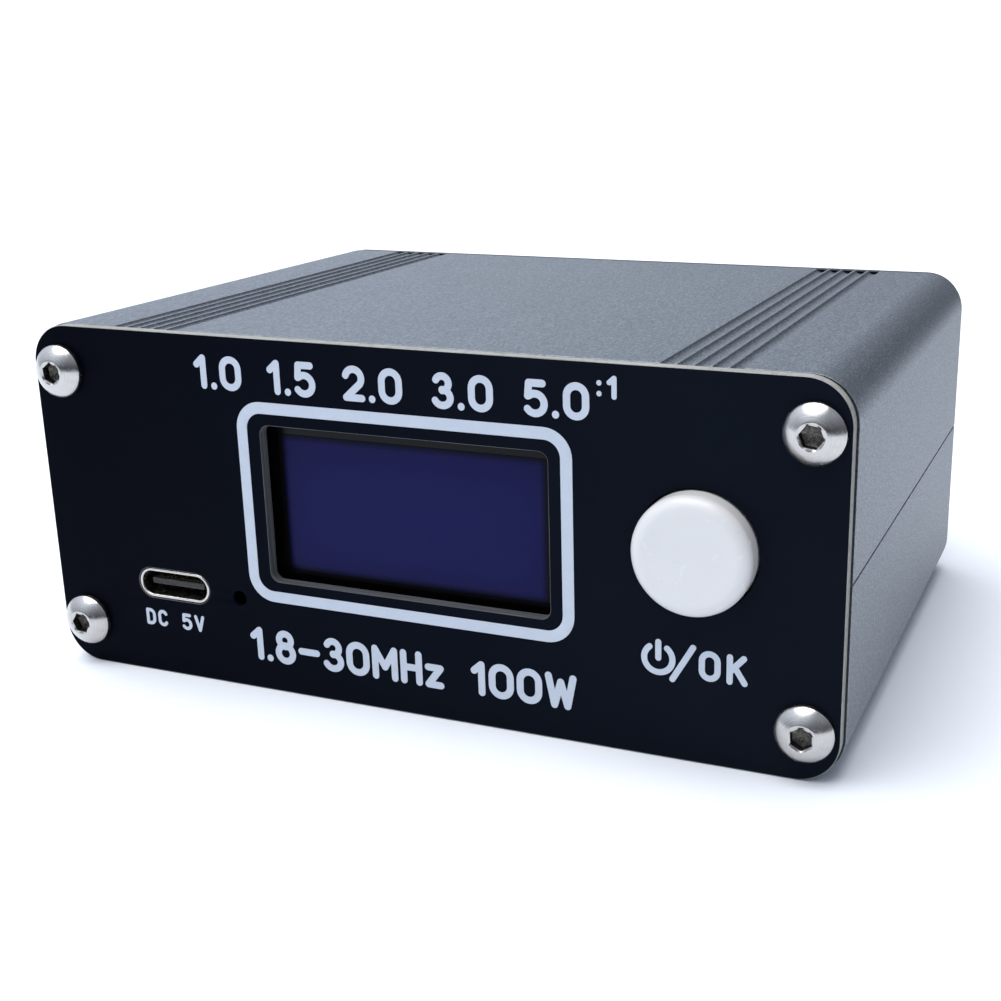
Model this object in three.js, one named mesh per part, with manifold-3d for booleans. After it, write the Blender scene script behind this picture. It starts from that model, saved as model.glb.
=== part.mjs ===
// An SWR and power meter for a radio transmitter, in a split extruded aluminium case.
//
// Millimetres. +X runs along the front panel to the right, +Y runs from the front to the back,
// and +Z is up. The origin is the centre of the case's bottom face, so the case stands on z = 0.

import * as THREE from 'three';
import { mergeVertices } from 'three/addons/utils/BufferGeometryUtils.js';
import Module from 'manifold-3d';

const wasm = await Module();
wasm.setup();

// ---------------------------------------------------------------- driving dimensions

// Case: two equal half shells, with a flat circuit-board panel on each end
const CASE_WIDTH = 88;
const CASE_HEIGHT = 38;
const SHELL_LENGTH = 60.8;
const WALL = 1.8;
const CORNER_RADIUS = 4.3;
const PANEL_THICKNESS = 1.2;
const PANEL_INSET_SIDE = 0.25;
const PANEL_INSET_TOP = 0.05;

// The seam steps: each half has an outer lip on one side and an inner tongue on the other
const SEAM_RISE = 0.3;
const SEAM_OVERLAP = 1.2;
const SEAM_GAP = 0.15;

// Decorative grooves, in one band near each side of the top and of the bottom
const GROOVES_PER_BAND = 5;
const GROOVE_BAND_CENTRE = 29.9;
const GROOVE_PITCH = 1.62;
const GROOVE_WIDTH = 1.3;
const GROOVE_DEPTH = 0.42;

// Screw bosses in the corners of the extrusion, and the M3 button head screws in them
const SCREW_X = 40.45;
const SCREW_RISE = 14.05;
const BOSS_RADIUS = 2.15;
const BOSS_BORE_RADIUS = 1.55;
const SCREW_HEAD_RADIUS = 2.85;
const SCREW_HEAD_HEIGHT = 1.65;
const SCREW_DOME_RADIUS = 3.6;
const SCREW_FLAT_RADIUS = 1.36;
const SCREW_SHANK_RADIUS = 1.45;
const SCREW_LENGTH = 8;
const SCREW_HOLE_RADIUS = 1.65;
const HEX_SOCKET_ACROSS_FLATS = 2;
const HEX_SOCKET_DEPTH = 1.04;

// Display window in the front panel, and the display behind it
const WINDOW = { x: -0.28, z: 20.78, width: 31.45, height: 16.65, radius: 1 };
const DISPLAY_RECESS = 2.15;
const DISPLAY_WIDTH = 34.5;
const DISPLAY_HEIGHT = 23;
const DISPLAY_BOTTOM = 11.7;
const DISPLAY_GLASS_THICKNESS = 0.7;
const DISPLAY_LID_THICKNESS = 0.75;
const DISPLAY_LID_HEIGHT = 18.2;

// Push button: a round cap on a square tactile switch
const BUTTON_X = 29.92;
const BUTTON_Z = 21.11;
const CAP_RADIUS = 5.75;
const CAP_PROUD = 2.5;
const CAP_HEIGHT = 5;
const CAP_FILLET = 1.25;
const CAP_WALL = 1;
const BUTTON_HOLE_RADIUS = 5.95;
const SWITCH_SIDE = 12;
const SWITCH_HEIGHT = 3.5;
const PLUNGER_RADIUS = 1.75;

// Power socket in the front panel, and the pinhole beside it
const SOCKET = { x: -28.5, z: 10.35, width: 8.94, height: 3.26, depth: 7.3, wall: 0.31 };
const SOCKET_CLEARANCE = 0.08;
const PINHOLE = { x: -20.15, z: 10, radius: 0.8 };

// Circuit boards
const BOARD_THICKNESS = 1.6;
const BOARD_TOP = SOCKET.z - SOCKET.height / 2;
const BOARD_HALF_WIDTH = 41.9;
const BOARD_BACK = 25.5;
const BOARD_FRONT_GAP = 0.2;
const RAIL_GAP = 0.1;
const RAIL_THICKNESS = 0.8;
const RAIL_REACH = 1.5;
const DISPLAY_BOARD_SETBACK = 6.6;

// Radio sockets on the back panel: a threaded barrel on a square flange
const RF_SOCKET_X = 22;
const RF_SOCKET_Z = 19;
const RF_FLANGE_SIDE = 25.4;
const RF_FLANGE_THICKNESS = 2.5;
const RF_FLANGE_HOLE_OFFSET = 9.1;
const RF_BARREL_RADIUS = 7.95;
const RF_BARREL_LENGTH = 14.9;
const RF_SPIGOT_RADIUS = 6.2;
const RF_SPIGOT_HOLE_RADIUS = 6.4;
const NUT_ACROSS_FLATS = 5.5;
const NUT_HEIGHT = 2.4;

// Coupler transformers: a ferrite ring with a winding
const RING_OUTER_RADIUS = 6.35;
const RING_INNER_RADIUS = 3.6;
const RING_LENGTH = 4.8;
const WINDING_TURNS = 12;
const WINDING_WIRE_RADIUS = 0.35;

// Facets of a full circle, for small, medium and large rounds
const FACETS_SMALL = 12;
const FACETS_MEDIUM = 20;
const FACETS_LARGE = 36;
const CORNER_STEPS = 8;

// ---------------------------------------------------------------- places worked out from them

const MID_HEIGHT = CASE_HEIGHT / 2;
const SHELL_FRONT = -SHELL_LENGTH / 2;
const SHELL_BACK = SHELL_LENGTH / 2;
const FRONT_FACE = SHELL_FRONT - PANEL_THICKNESS;
const BACK_FACE = SHELL_BACK + PANEL_THICKNESS;
const DISPLAY_FRONT = FRONT_FACE + DISPLAY_RECESS;
const DISPLAY_LID_BACK = DISPLAY_FRONT + DISPLAY_GLASS_THICKNESS + DISPLAY_LID_THICKNESS;
const DISPLAY_BOARD_FRONT = FRONT_FACE + DISPLAY_BOARD_SETBACK;
const DISPLAY_BOARD_BACK = DISPLAY_BOARD_FRONT + BOARD_THICKNESS;
const BOARD_BOTTOM = BOARD_TOP - BOARD_THICKNESS;
const CAP_FRONT = FRONT_FACE - CAP_PROUD;
const CAP_BACK = CAP_FRONT + CAP_HEIGHT;
const SWITCH_FRONT = DISPLAY_BOARD_FRONT - SWITCH_HEIGHT;
const FLANGE_FACE = BACK_FACE + RF_FLANGE_THICKNESS;
const BARREL_END = FLANGE_FACE + RF_BARREL_LENGTH;

// ---------------------------------------------------------------- outlines

// Points along an arc, both ends included. Angles are in degrees, anticlockwise from +X.
function arc(x, z, radius, fromDegrees, toDegrees, steps) {
  return Array.from({ length: steps + 1 }, (_, i) => {
    const angle = THREE.MathUtils.degToRad(fromDegrees + (toDegrees - fromDegrees) * (i / steps));
    return new THREE.Vector2(x + radius * Math.cos(angle), z + radius * Math.sin(angle));
  });
}

function circle(x, z, radius, facets) {
  return arc(x, z, radius, 0, 360, facets).slice(0, facets);
}

function roundedRectangle(x, z, width, height, radius, cornerSteps) {
  const right = x + width / 2 - radius;
  const left = x - width / 2 + radius;
  const top = z + height / 2 - radius;
  const bottom = z - height / 2 + radius;
  return [
    ...arc(right, top, radius, 0, 90, cornerSteps),
    ...arc(left, top, radius, 90, 180, cornerSteps),
    ...arc(left, bottom, radius, 180, 270, cornerSteps),
    ...arc(right, bottom, radius, 270, 360, cornerSteps),
  ];
}

// A slot with round ends, a hair short of full rounds so that no two points meet.
function stadium(x, z, width, height) {
  return roundedRectangle(x, z, width, height, height / 2 - 0.01, 5);
}

function hexagon(acrossFlats) {
  return circle(0, 0, acrossFlats / Math.sqrt(3), 6);
}

// ---------------------------------------------------------------- solids

function signedVolume(geometry) {
  const faces = geometry.index ? geometry.toNonIndexed() : geometry;
  const position = faces.attributes.position;
  const [a, b, c] = [new THREE.Vector3(), new THREE.Vector3(), new THREE.Vector3()];
  let volume = 0;
  for (let i = 0; i < position.count; i += 3) {
    a.fromBufferAttribute(position, i);
    b.fromBufferAttribute(position, i + 1);
    c.fromBufferAttribute(position, i + 2);
    volume += a.dot(b.cross(c)) / 6;
  }
  return volume;
}

// The same closed surface with shared vertices, and its faces turned to point out.
function closedSurface(geometry) {
  const bare = new THREE.BufferGeometry();
  bare.setAttribute('position', geometry.attributes.position);
  bare.setIndex(geometry.index);
  const merged = mergeVertices(bare, 1e-4);
  if (signedVolume(merged) < 0) {
    const index = merged.index.array;
    for (let i = 0; i < index.length; i += 3) {
      [index[i], index[i + 1]] = [index[i + 1], index[i]];
    }
  }
  return merged;
}

function toSolid(geometry) {
  const surface = closedSurface(geometry);
  return new wasm.Manifold(new wasm.Mesh({
    numProp: 3,
    vertProperties: new Float32Array(surface.attributes.position.array),
    triVerts: new Uint32Array(surface.index.array),
  }));
}

function toGeometry(solid) {
  const mesh = solid.getMesh();
  const geometry = new THREE.BufferGeometry();
  geometry.setAttribute('position', new THREE.BufferAttribute(mesh.vertProperties, 3));
  geometry.setIndex(new THREE.BufferAttribute(mesh.triVerts, 1));
  return geometry;
}

function join(first, ...others) {
  return toGeometry(others.reduce((solid, other) => solid.add(toSolid(other)), toSolid(first)));
}

function cut(first, ...tools) {
  return toGeometry(tools.reduce((solid, tool) => solid.subtract(toSolid(tool)), toSolid(first)));
}

function extrude(outline, holes, depth) {
  const shape = new THREE.Shape(outline);
  shape.holes = holes.map((points) => new THREE.Path(points));
  return new THREE.ExtrudeGeometry(shape, { depth, bevelEnabled: false });
}

// Outlines are drawn in (x, z) here, and the solid runs from one y to another.
function extrudeAlongY(outline, holes, front, back) {
  return extrude(outline, holes, back - front).rotateX(Math.PI / 2).translate(0, back, 0);
}

// Outlines are drawn in (y, z) here, and the solid runs from one x to another.
function extrudeAlongX(outline, left, right) {
  const turn = new THREE.Matrix4().makeBasis(
    new THREE.Vector3(0, 1, 0),
    new THREE.Vector3(0, 0, 1),
    new THREE.Vector3(1, 0, 0),
  );
  return extrude(outline, [], right - left).applyMatrix4(turn).translate(left, 0, 0);
}

// Outlines are drawn in (x, y) here, and the solid runs from one z to another.
function extrudeAlongZ(outline, holes, bottom, top) {
  return extrude(outline, holes, top - bottom).translate(0, 0, bottom);
}

// A solid of revolution about +Y. The profile is a list of [radius, y].
function turned(profile, facets) {
  return new THREE.LatheGeometry(profile.map(([r, y]) => new THREE.Vector2(r, y)), facets);
}

// The same, for a ring whose profile closes on itself.
function turnedRing(profile, facets) {
  return turned([...profile, profile[0]], facets);
}

function box([x0, y0, z0], [x1, y1, z1]) {
  return new THREE.BoxGeometry(x1 - x0, y1 - y0, z1 - z0)
    .translate((x0 + x1) / 2, (y0 + y1) / 2, (z0 + z1) / 2);
}

// A round wire along smooth points.
function wire(points, radius, sides, steps) {
  const path = new THREE.CatmullRomCurve3(points.map((p) => new THREE.Vector3(...p)));
  const section = new THREE.Shape(circle(0, 0, radius, sides));
  return new THREE.ExtrudeGeometry(section, { steps, extrudePath: path });
}

// ---------------------------------------------------------------- finishes

const FINISHES = {
  shellAluminium: { color: 0x8d949e, roughness: 0.5, metalness: 0.9 },
  panelBlack: { color: 0x16191f, roughness: 0.55, metalness: 0 },
  steel: { color: 0xb9b7b2, roughness: 0.3, metalness: 1 },
  capWhite: { color: 0xe4e7ec, roughness: 0.35, metalness: 0 },
  blackPlastic: { color: 0x1b1b1d, roughness: 0.6, metalness: 0 },
  displayGlass: { color: 0x14153f, roughness: 0.15, metalness: 0 },
  foam: { color: 0x24262a, roughness: 0.95, metalness: 0 },
  flexAmber: { color: 0xa8662c, roughness: 0.45, metalness: 0 },
  boardGreen: { color: 0x1d4a33, roughness: 0.5, metalness: 0 },
  nickel: { color: 0xc9c6be, roughness: 0.25, metalness: 1 },
  ptfe: { color: 0xefeee8, roughness: 0.5, metalness: 0 },
  gold: { color: 0xc9a35a, roughness: 0.3, metalness: 1 },
  ferrite: { color: 0x4a4a4d, roughness: 0.8, metalness: 0 },
  copper: { color: 0xb4653a, roughness: 0.35, metalness: 0.9 },
  batteryWrap: { color: 0x9aa3ad, roughness: 0.4, metalness: 0.2 },
  wireRed: { color: 0xa8201f, roughness: 0.5, metalness: 0 },
  wireBlack: { color: 0x17171a, roughness: 0.5, metalness: 0 },
  socketWhite: { color: 0xe9e6dc, roughness: 0.5, metalness: 0 },
};

const meter = new THREE.Group();

function addPart(name, geometry, finish, [x, y, z] = [0, 0, 0]) {
  const mesh = new THREE.Mesh(closedSurface(geometry), new THREE.MeshStandardMaterial(FINISHES[finish]));
  mesh.name = name;
  mesh.position.set(x, y, z);
  meter.add(mesh);
}

// ---------------------------------------------------------------- case

// The shell's outer face from right to left across one band of grooves.
function grooveBand(centre, outerZ) {
  const firstOffset = ((GROOVES_PER_BAND - 1) / 2) * GROOVE_PITCH;
  return Array.from({ length: GROOVES_PER_BAND }, (_, i) => {
    const x = centre + firstOffset - i * GROOVE_PITCH;
    const floor = outerZ - GROOVE_DEPTH;
    return [
      new THREE.Vector2(x + GROOVE_WIDTH / 2, outerZ),
      new THREE.Vector2(x + GROOVE_WIDTH / 2, floor),
      new THREE.Vector2(x - GROOVE_WIDTH / 2, floor),
      new THREE.Vector2(x - GROOVE_WIDTH / 2, outerZ),
    ];
  }).flat();
}

// One side wall's inner face, from the seam end up to the top wall: a card rail, then the boss.
// side is 1 for the right wall and -1 for the left one. Heights are above the case's mid height.
function innerWall(side, seamEnd) {
  const inner = side * (CASE_WIDTH / 2 - WALL);
  const bossTop = SCREW_RISE - BOSS_RADIUS;
  const railHigh = bossTop - BOARD_THICKNESS - RAIL_GAP;
  const railLow = railHigh - RAIL_THICKNESS;
  const railEdge = inner - side * RAIL_REACH;
  const wallToBoss = Math.abs(inner) - SCREW_X;
  const bossStart = -THREE.MathUtils.radToDeg(Math.acos(wallToBoss / BOSS_RADIUS));
  const bossEnd = -210;
  const bossArc = arc(SCREW_X, SCREW_RISE, BOSS_RADIUS, bossStart, bossEnd, CORNER_STEPS);
  const upperEdge = bossArc[bossArc.length - 1].x;
  return [
    new THREE.Vector2(inner, seamEnd),
    new THREE.Vector2(inner, railLow),
    new THREE.Vector2(railEdge, railLow),
    new THREE.Vector2(railEdge, railHigh),
    new THREE.Vector2(inner, railHigh),
    ...bossArc.map((point) => new THREE.Vector2(side * point.x, point.y)),
    new THREE.Vector2(side * upperEdge, MID_HEIGHT - WALL),
  ];
}

// The cross-section of the upper half, about the centre of the case.
function halfShellOutline() {
  const outerX = CASE_WIDTH / 2;
  const lipX = outerX - WALL / 2;
  const cornerX = outerX - CORNER_RADIUS;
  const cornerZ = MID_HEIGHT - CORNER_RADIUS;
  const lipEnd = SEAM_RISE;
  const lipRoot = SEAM_RISE + SEAM_OVERLAP;
  const tongueEnd = SEAM_GAP - lipRoot;
  const tongueRoot = SEAM_GAP - SEAM_RISE;
  const lipClearance = SEAM_GAP / 2;
  return [
    // right side, where the outer lip hangs down
    new THREE.Vector2(lipX + lipClearance, lipRoot),
    new THREE.Vector2(lipX + lipClearance, lipEnd),
    new THREE.Vector2(outerX, lipEnd),
    ...arc(cornerX, cornerZ, CORNER_RADIUS, 0, 90, CORNER_STEPS),
    ...grooveBand(GROOVE_BAND_CENTRE, MID_HEIGHT),
    ...grooveBand(-GROOVE_BAND_CENTRE, MID_HEIGHT),
    ...arc(-cornerX, cornerZ, CORNER_RADIUS, 90, 180, CORNER_STEPS),
    // left side, where the inner tongue hangs down
    new THREE.Vector2(-outerX, tongueRoot),
    new THREE.Vector2(-lipX + lipClearance, tongueRoot),
    new THREE.Vector2(-lipX + lipClearance, tongueEnd),
    ...innerWall(-1, tongueEnd),
    ...innerWall(1, lipRoot).reverse(),
  ];
}

function halfShell() {
  const bores = [-SCREW_X, SCREW_X].map((x) => circle(x, SCREW_RISE, BOSS_BORE_RADIUS, FACETS_MEDIUM));
  return extrudeAlongY(halfShellOutline(), bores, SHELL_FRONT, SHELL_BACK);
}

// Both shells are cut from one extrusion: the lower one is turned half a turn about the Y axis.
function addShells() {
  addPart('top_shell', halfShell(), 'shellAluminium', [0, 0, MID_HEIGHT]);
  addPart('bottom_shell', halfShell().rotateY(Math.PI), 'shellAluminium', [0, 0, MID_HEIGHT]);
}

const CORNERS = [
  { name: 'top_left', x: -SCREW_X, z: MID_HEIGHT + SCREW_RISE },
  { name: 'top_right', x: SCREW_X, z: MID_HEIGHT + SCREW_RISE },
  { name: 'bottom_left', x: -SCREW_X, z: MID_HEIGHT - SCREW_RISE },
  { name: 'bottom_right', x: SCREW_X, z: MID_HEIGHT - SCREW_RISE },
];

function panelOutline() {
  const width = CASE_WIDTH - 2 * PANEL_INSET_SIDE;
  const height = CASE_HEIGHT - 2 * PANEL_INSET_TOP;
  return roundedRectangle(0, MID_HEIGHT, width, height, CORNER_RADIUS, CORNER_STEPS);
}

function cornerHoles() {
  return CORNERS.map(({ x, z }) => circle(x, z, SCREW_HOLE_RADIUS, FACETS_MEDIUM));
}

function addFrontPanel() {
  const socketWidth = SOCKET.width + 2 * SOCKET_CLEARANCE;
  const socketHeight = SOCKET.height + 2 * SOCKET_CLEARANCE;
  const holes = [
    ...cornerHoles(),
    roundedRectangle(WINDOW.x, WINDOW.z, WINDOW.width, WINDOW.height, WINDOW.radius, 4),
    circle(BUTTON_X, BUTTON_Z, BUTTON_HOLE_RADIUS, FACETS_LARGE),
    stadium(SOCKET.x, SOCKET.z, socketWidth, socketHeight),
    circle(PINHOLE.x, PINHOLE.z, PINHOLE.radius, FACETS_SMALL),
  ];
  addPart('front_panel', extrudeAlongY(panelOutline(), holes, FRONT_FACE, SHELL_FRONT), 'panelBlack');
}

const RF_SOCKETS = [
  { name: 'left', x: -RF_SOCKET_X },
  { name: 'right', x: RF_SOCKET_X },
];

// The four flange holes of one radio socket, as [x, z] places on the back panel.
function flangeHolePlaces(socketX) {
  const signs = [[-1, -1], [1, -1], [-1, 1], [1, 1]];
  return signs.map(([sx, sz]) => [
    socketX + sx * RF_FLANGE_HOLE_OFFSET,
    RF_SOCKET_Z + sz * RF_FLANGE_HOLE_OFFSET,
  ]);
}

function addRearPanel() {
  const socketHoles = RF_SOCKETS.map(({ x }) => {
    return circle(x, RF_SOCKET_Z, RF_SPIGOT_HOLE_RADIUS, FACETS_MEDIUM);
  });
  const screwHoles = RF_SOCKETS.flatMap(({ x }) => flangeHolePlaces(x))
    .map(([x, z]) => circle(x, z, SCREW_HOLE_RADIUS, FACETS_SMALL));
  const holes = [...cornerHoles(), ...socketHoles, ...screwHoles];
  addPart('rear_panel', extrudeAlongY(panelOutline(), holes, SHELL_BACK, BACK_FACE), 'panelBlack');
}

// A button head screw. Its seat is at y = 0, its head is in front of that and its shank behind.
function buttonHeadScrew() {
  const domeSteps = 4;
  const sag = (radius) => SCREW_DOME_RADIUS - Math.sqrt(SCREW_DOME_RADIUS ** 2 - radius ** 2);
  const dome = Array.from({ length: domeSteps + 1 }, (_, i) => {
    const radius = THREE.MathUtils.lerp(SCREW_FLAT_RADIUS, SCREW_HEAD_RADIUS, i / domeSteps);
    return [radius, sag(radius) - sag(SCREW_FLAT_RADIUS) - SCREW_HEAD_HEIGHT];
  });
  const body = turned([
    [0, -SCREW_HEAD_HEIGHT],
    ...dome,
    [SCREW_HEAD_RADIUS, 0],
    [SCREW_SHANK_RADIUS, 0],
    [SCREW_SHANK_RADIUS, SCREW_LENGTH],
    [0, SCREW_LENGTH],
  ], FACETS_SMALL);
  const socketMouth = -SCREW_HEAD_HEIGHT - 1;
  const socketBottom = HEX_SOCKET_DEPTH - SCREW_HEAD_HEIGHT;
  const socket = extrudeAlongY(hexagon(HEX_SOCKET_ACROSS_FLATS), [], socketMouth, socketBottom);
  return cut(body, socket);
}

function addCaseScrews() {
  for (const { name, x, z } of CORNERS) {
    addPart(`front_screw_${name}`, buttonHeadScrew(), 'steel', [x, FRONT_FACE, z]);
    addPart(`rear_screw_${name}`, buttonHeadScrew().rotateX(Math.PI), 'steel', [x, BACK_FACE, z]);
  }
}

// ---------------------------------------------------------------- display

// The viewed glass, with a shorter lid bonded behind it; the bare ledge is at the top.
function addDisplayGlass() {
  const glassBack = DISPLAY_FRONT + DISPLAY_GLASS_THICKNESS;
  const top = DISPLAY_BOTTOM + DISPLAY_HEIGHT;
  const lidTop = DISPLAY_BOTTOM + DISPLAY_LID_HEIGHT;
  const outline = [
    new THREE.Vector2(DISPLAY_FRONT, DISPLAY_BOTTOM),
    new THREE.Vector2(DISPLAY_LID_BACK, DISPLAY_BOTTOM),
    new THREE.Vector2(DISPLAY_LID_BACK, lidTop),
    new THREE.Vector2(glassBack, lidTop),
    new THREE.Vector2(glassBack, top),
    new THREE.Vector2(DISPLAY_FRONT, top),
  ];
  const left = WINDOW.x - DISPLAY_WIDTH / 2;
  addPart('display_glass', extrudeAlongX(outline, left, left + DISPLAY_WIDTH), 'displayGlass');
}

// A foam block that holds the display off its board.
function addDisplayPad() {
  const width = 28;
  const height = 14;
  const outline = roundedRectangle(WINDOW.x, WINDOW.z, width, height, 1, 2);
  addPart('display_pad', extrudeAlongY(outline, [], DISPLAY_LID_BACK, DISPLAY_BOARD_FRONT), 'foam');
}

// A flat ribbon that leaves the ledge of the glass and turns back onto the display board.
function addDisplayRibbon() {
  const thickness = 0.15;
  const gap = 0.1;
  const startY = DISPLAY_FRONT + DISPLAY_GLASS_THICKNESS + gap;
  const endY = DISPLAY_BOARD_FRONT - gap;
  const bendRadius = (endY - startY) / 2;
  const bendY = (startY + endY) / 2;
  const bendZ = 33.4;
  const lowEnd = 31.2;
  const outline = [
    new THREE.Vector2(endY, lowEnd),
    ...arc(bendY, bendZ, bendRadius, 0, 180, 8),
    new THREE.Vector2(startY, lowEnd),
    new THREE.Vector2(startY + thickness, lowEnd),
    ...arc(bendY, bendZ, bendRadius - thickness, 180, 0, 8),
    new THREE.Vector2(endY - thickness, lowEnd),
  ];
  const halfWidth = 6.5;
  const ribbon = extrudeAlongX(outline, WINDOW.x - halfWidth, WINDOW.x + halfWidth);
  addPart('display_ribbon', ribbon, 'flexAmber');
}

const HEADER = { pins: 7, pitch: 2.54, x: 3, y: -21.9, pinZ: BOARD_TOP + 1.5, holeRadius: 0.5 };

function headerPinPlaces() {
  const first = HEADER.x - ((HEADER.pins - 1) / 2) * HEADER.pitch;
  return Array.from({ length: HEADER.pins }, (_, i) => first + i * HEADER.pitch);
}

// The upright board that carries the display and the switch.
function addDisplayBoard() {
  const gapBelow = 0.2;
  const [left, right, bottom, top] = [-19, 37.6, BOARD_TOP + gapBelow, 35.2];
  const cornerRadius = 1;
  const outline = roundedRectangle(
    (left + right) / 2,
    (bottom + top) / 2,
    right - left,
    top - bottom,
    cornerRadius,
    3,
  );
  const holes = headerPinPlaces().map((x) => circle(x, HEADER.pinZ, HEADER.holeRadius, 8));
  addPart(
    'display_board',
    extrudeAlongY(outline, holes, DISPLAY_BOARD_FRONT, DISPLAY_BOARD_BACK),
    'boardGreen',
  );
}

// A right-angled pin header that joins the upright board to the main board.
function addBoardHeader() {
  const halfPin = 0.32;
  const halfDepth = 1.27;
  const height = 2.54;
  const pinFront = DISPLAY_BOARD_FRONT - 1;
  const pinBottom = BOARD_BOTTOM - 0.15;
  const places = headerPinPlaces();
  const halfLength = (HEADER.pins * HEADER.pitch) / 2;
  const block = box(
    [HEADER.x - halfLength, HEADER.y - halfDepth, BOARD_TOP],
    [HEADER.x + halfLength, HEADER.y + halfDepth, BOARD_TOP + height],
  );
  const forwardPins = places.map((x) => box(
    [x - halfPin, pinFront, HEADER.pinZ - halfPin],
    [x + halfPin, HEADER.y, HEADER.pinZ + halfPin],
  ));
  const downPins = places.map((x) => box(
    [x - halfPin, HEADER.y - halfPin, pinBottom],
    [x + halfPin, HEADER.y + halfPin, HEADER.pinZ],
  ));
  addPart('board_header', join(block, ...forwardPins, ...downPins), 'blackPlastic');
}

// ---------------------------------------------------------------- push button

const PLUNGER_TIP = CAP_FRONT + 2.15;
const SWITCH_PLATE = 0.5;
const PLUNGER_FOOT_RADIUS = 2.8;

function addSwitchHousing() {
  const shaftHole = PLUNGER_RADIUS + 0.2;
  const wellRadius = 3.4;
  const wellBack = DISPLAY_BOARD_FRONT - 0.6;
  const block = extrudeAlongY(
    roundedRectangle(BUTTON_X, BUTTON_Z, SWITCH_SIDE, SWITCH_SIDE, 0.8, 2),
    [],
    SWITCH_FRONT,
    DISPLAY_BOARD_FRONT,
  );
  const bore = turned([
    [0, SWITCH_FRONT - 1],
    [shaftHole, SWITCH_FRONT - 1],
    [shaftHole, SWITCH_FRONT + SWITCH_PLATE],
    [wellRadius, SWITCH_FRONT + SWITCH_PLATE],
    [wellRadius, wellBack],
    [0, wellBack],
  ], FACETS_MEDIUM).translate(BUTTON_X, 0, BUTTON_Z);
  addPart('switch_housing', cut(block, bore), 'blackPlastic');
}

// The snap dome that clicks and pushes the plunger back, drawn at its pressed height.
function addSwitchDome() {
  const thickness = 0.1;
  const rim = { radius: 3.1, y: DISPLAY_BOARD_FRONT - 0.65 };
  const crown = rim.y - 0.7;
  const shoulder = { radius: 1.6, y: crown + 0.15 };
  addPart('switch_dome', turned([
    [0, crown],
    [shoulder.radius, shoulder.y],
    [rim.radius, rim.y - thickness],
    [rim.radius, rim.y],
    [shoulder.radius, shoulder.y + thickness],
    [0, crown + thickness],
  ], FACETS_MEDIUM), 'steel', [BUTTON_X, 0, BUTTON_Z]);
}

function addSwitchPlunger() {
  const footFront = SWITCH_FRONT + SWITCH_PLATE + 0.1;
  const footBack = footFront + 0.6;
  addPart('switch_plunger', turned([
    [0, PLUNGER_TIP],
    [PLUNGER_RADIUS, PLUNGER_TIP],
    [PLUNGER_RADIUS, footFront],
    [PLUNGER_FOOT_RADIUS, footFront],
    [PLUNGER_FOOT_RADIUS, footBack],
    [0, footBack],
  ], FACETS_MEDIUM), 'blackPlastic', [BUTTON_X, 0, BUTTON_Z]);
}

// The cap is a cup with a stem inside that grips the plunger.
function addButtonCap() {
  const crownThickness = 1.7;
  const stemRadius = 2.7;
  const stemBack = CAP_BACK - 0.5;
  const gripRadius = PLUNGER_RADIUS + 0.08;
  const fillet = arc(CAP_RADIUS - CAP_FILLET, CAP_FRONT + CAP_FILLET, CAP_FILLET, -90, 0, 4);
  addPart('button_cap', turned([
    [0, CAP_FRONT],
    ...fillet.map((point) => [point.x, point.y]),
    [CAP_RADIUS, CAP_BACK],
    [CAP_RADIUS - CAP_WALL, CAP_BACK],
    [CAP_RADIUS - CAP_WALL, CAP_FRONT + crownThickness],
    [stemRadius, CAP_FRONT + crownThickness],
    [stemRadius, stemBack],
    [gripRadius, stemBack],
    [gripRadius, PLUNGER_TIP - 0.05],
    [0, PLUNGER_TIP - 0.05],
  ], FACETS_LARGE), 'capWhite', [BUTTON_X, 0, BUTTON_Z]);
}

// ---------------------------------------------------------------- main board and power

function addMainBoard() {
  const front = SHELL_FRONT + BOARD_FRONT_GAP;
  const outline = roundedRectangle(
    0,
    (front + BOARD_BACK) / 2,
    2 * BOARD_HALF_WIDTH,
    BOARD_BACK - front,
    0.8,
    2,
  );
  const holes = headerPinPlaces().map((x) => circle(x, HEADER.y, HEADER.holeRadius, 8));
  addPart('main_board', extrudeAlongZ(outline, holes, BOARD_BOTTOM, BOARD_TOP), 'boardGreen');
}

function addPowerSocket() {
  const { x, z, width, height, depth, wall } = SOCKET;
  const back = FRONT_FACE + depth;
  const innerWidth = width - 2 * wall;
  const innerHeight = height - 2 * wall;
  const shellHole = stadium(x, z, innerWidth, innerHeight);
  const shell = extrudeAlongY(stadium(x, z, width, height), [shellHole], FRONT_FACE, back);
  addPart('socket_shell', shell, 'nickel');

  const clearance = 0.1;
  const plugOutline = stadium(x, z, innerWidth - clearance, innerHeight - clearance);
  const plugFront = back - 1.5;
  const rearPlug = extrudeAlongY(plugOutline, [], plugFront, back - clearance);
  const halfWidth = 3.35;
  const halfThickness = 0.35;
  const tongueTip = FRONT_FACE + 0.7;
  const tongue = box(
    [x - halfWidth, tongueTip, z - halfThickness],
    [x + halfWidth, plugFront + 0.5, z + halfThickness],
  );
  addPart('socket_tongue', join(rearPlug, tongue), 'blackPlastic');
}

// The charge light stands on the board's front edge, behind the pinhole.
function addChargeLight() {
  const [halfWidth, depth, height] = [1.1, 1.2, 2.1];
  const front = FRONT_FACE + 2.2;
  const body = box(
    [PINHOLE.x - halfWidth, front, BOARD_TOP],
    [PINHOLE.x + halfWidth, front + depth, BOARD_TOP + height],
  );
  addPart('charge_light', body, 'socketWhite');
}

function addController() {
  const [x, y, halfSide, height] = [24, -6, 3.5, 1.4];
  const outline = roundedRectangle(x, y, 2 * halfSide, 2 * halfSide, 0.5, 1);
  addPart('controller_chip', extrudeAlongZ(outline, [], BOARD_TOP, BOARD_TOP + height), 'blackPlastic');
}

const BATTERY = { left: -38, right: -7, front: -20, back: -1, thickness: 6 };

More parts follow.
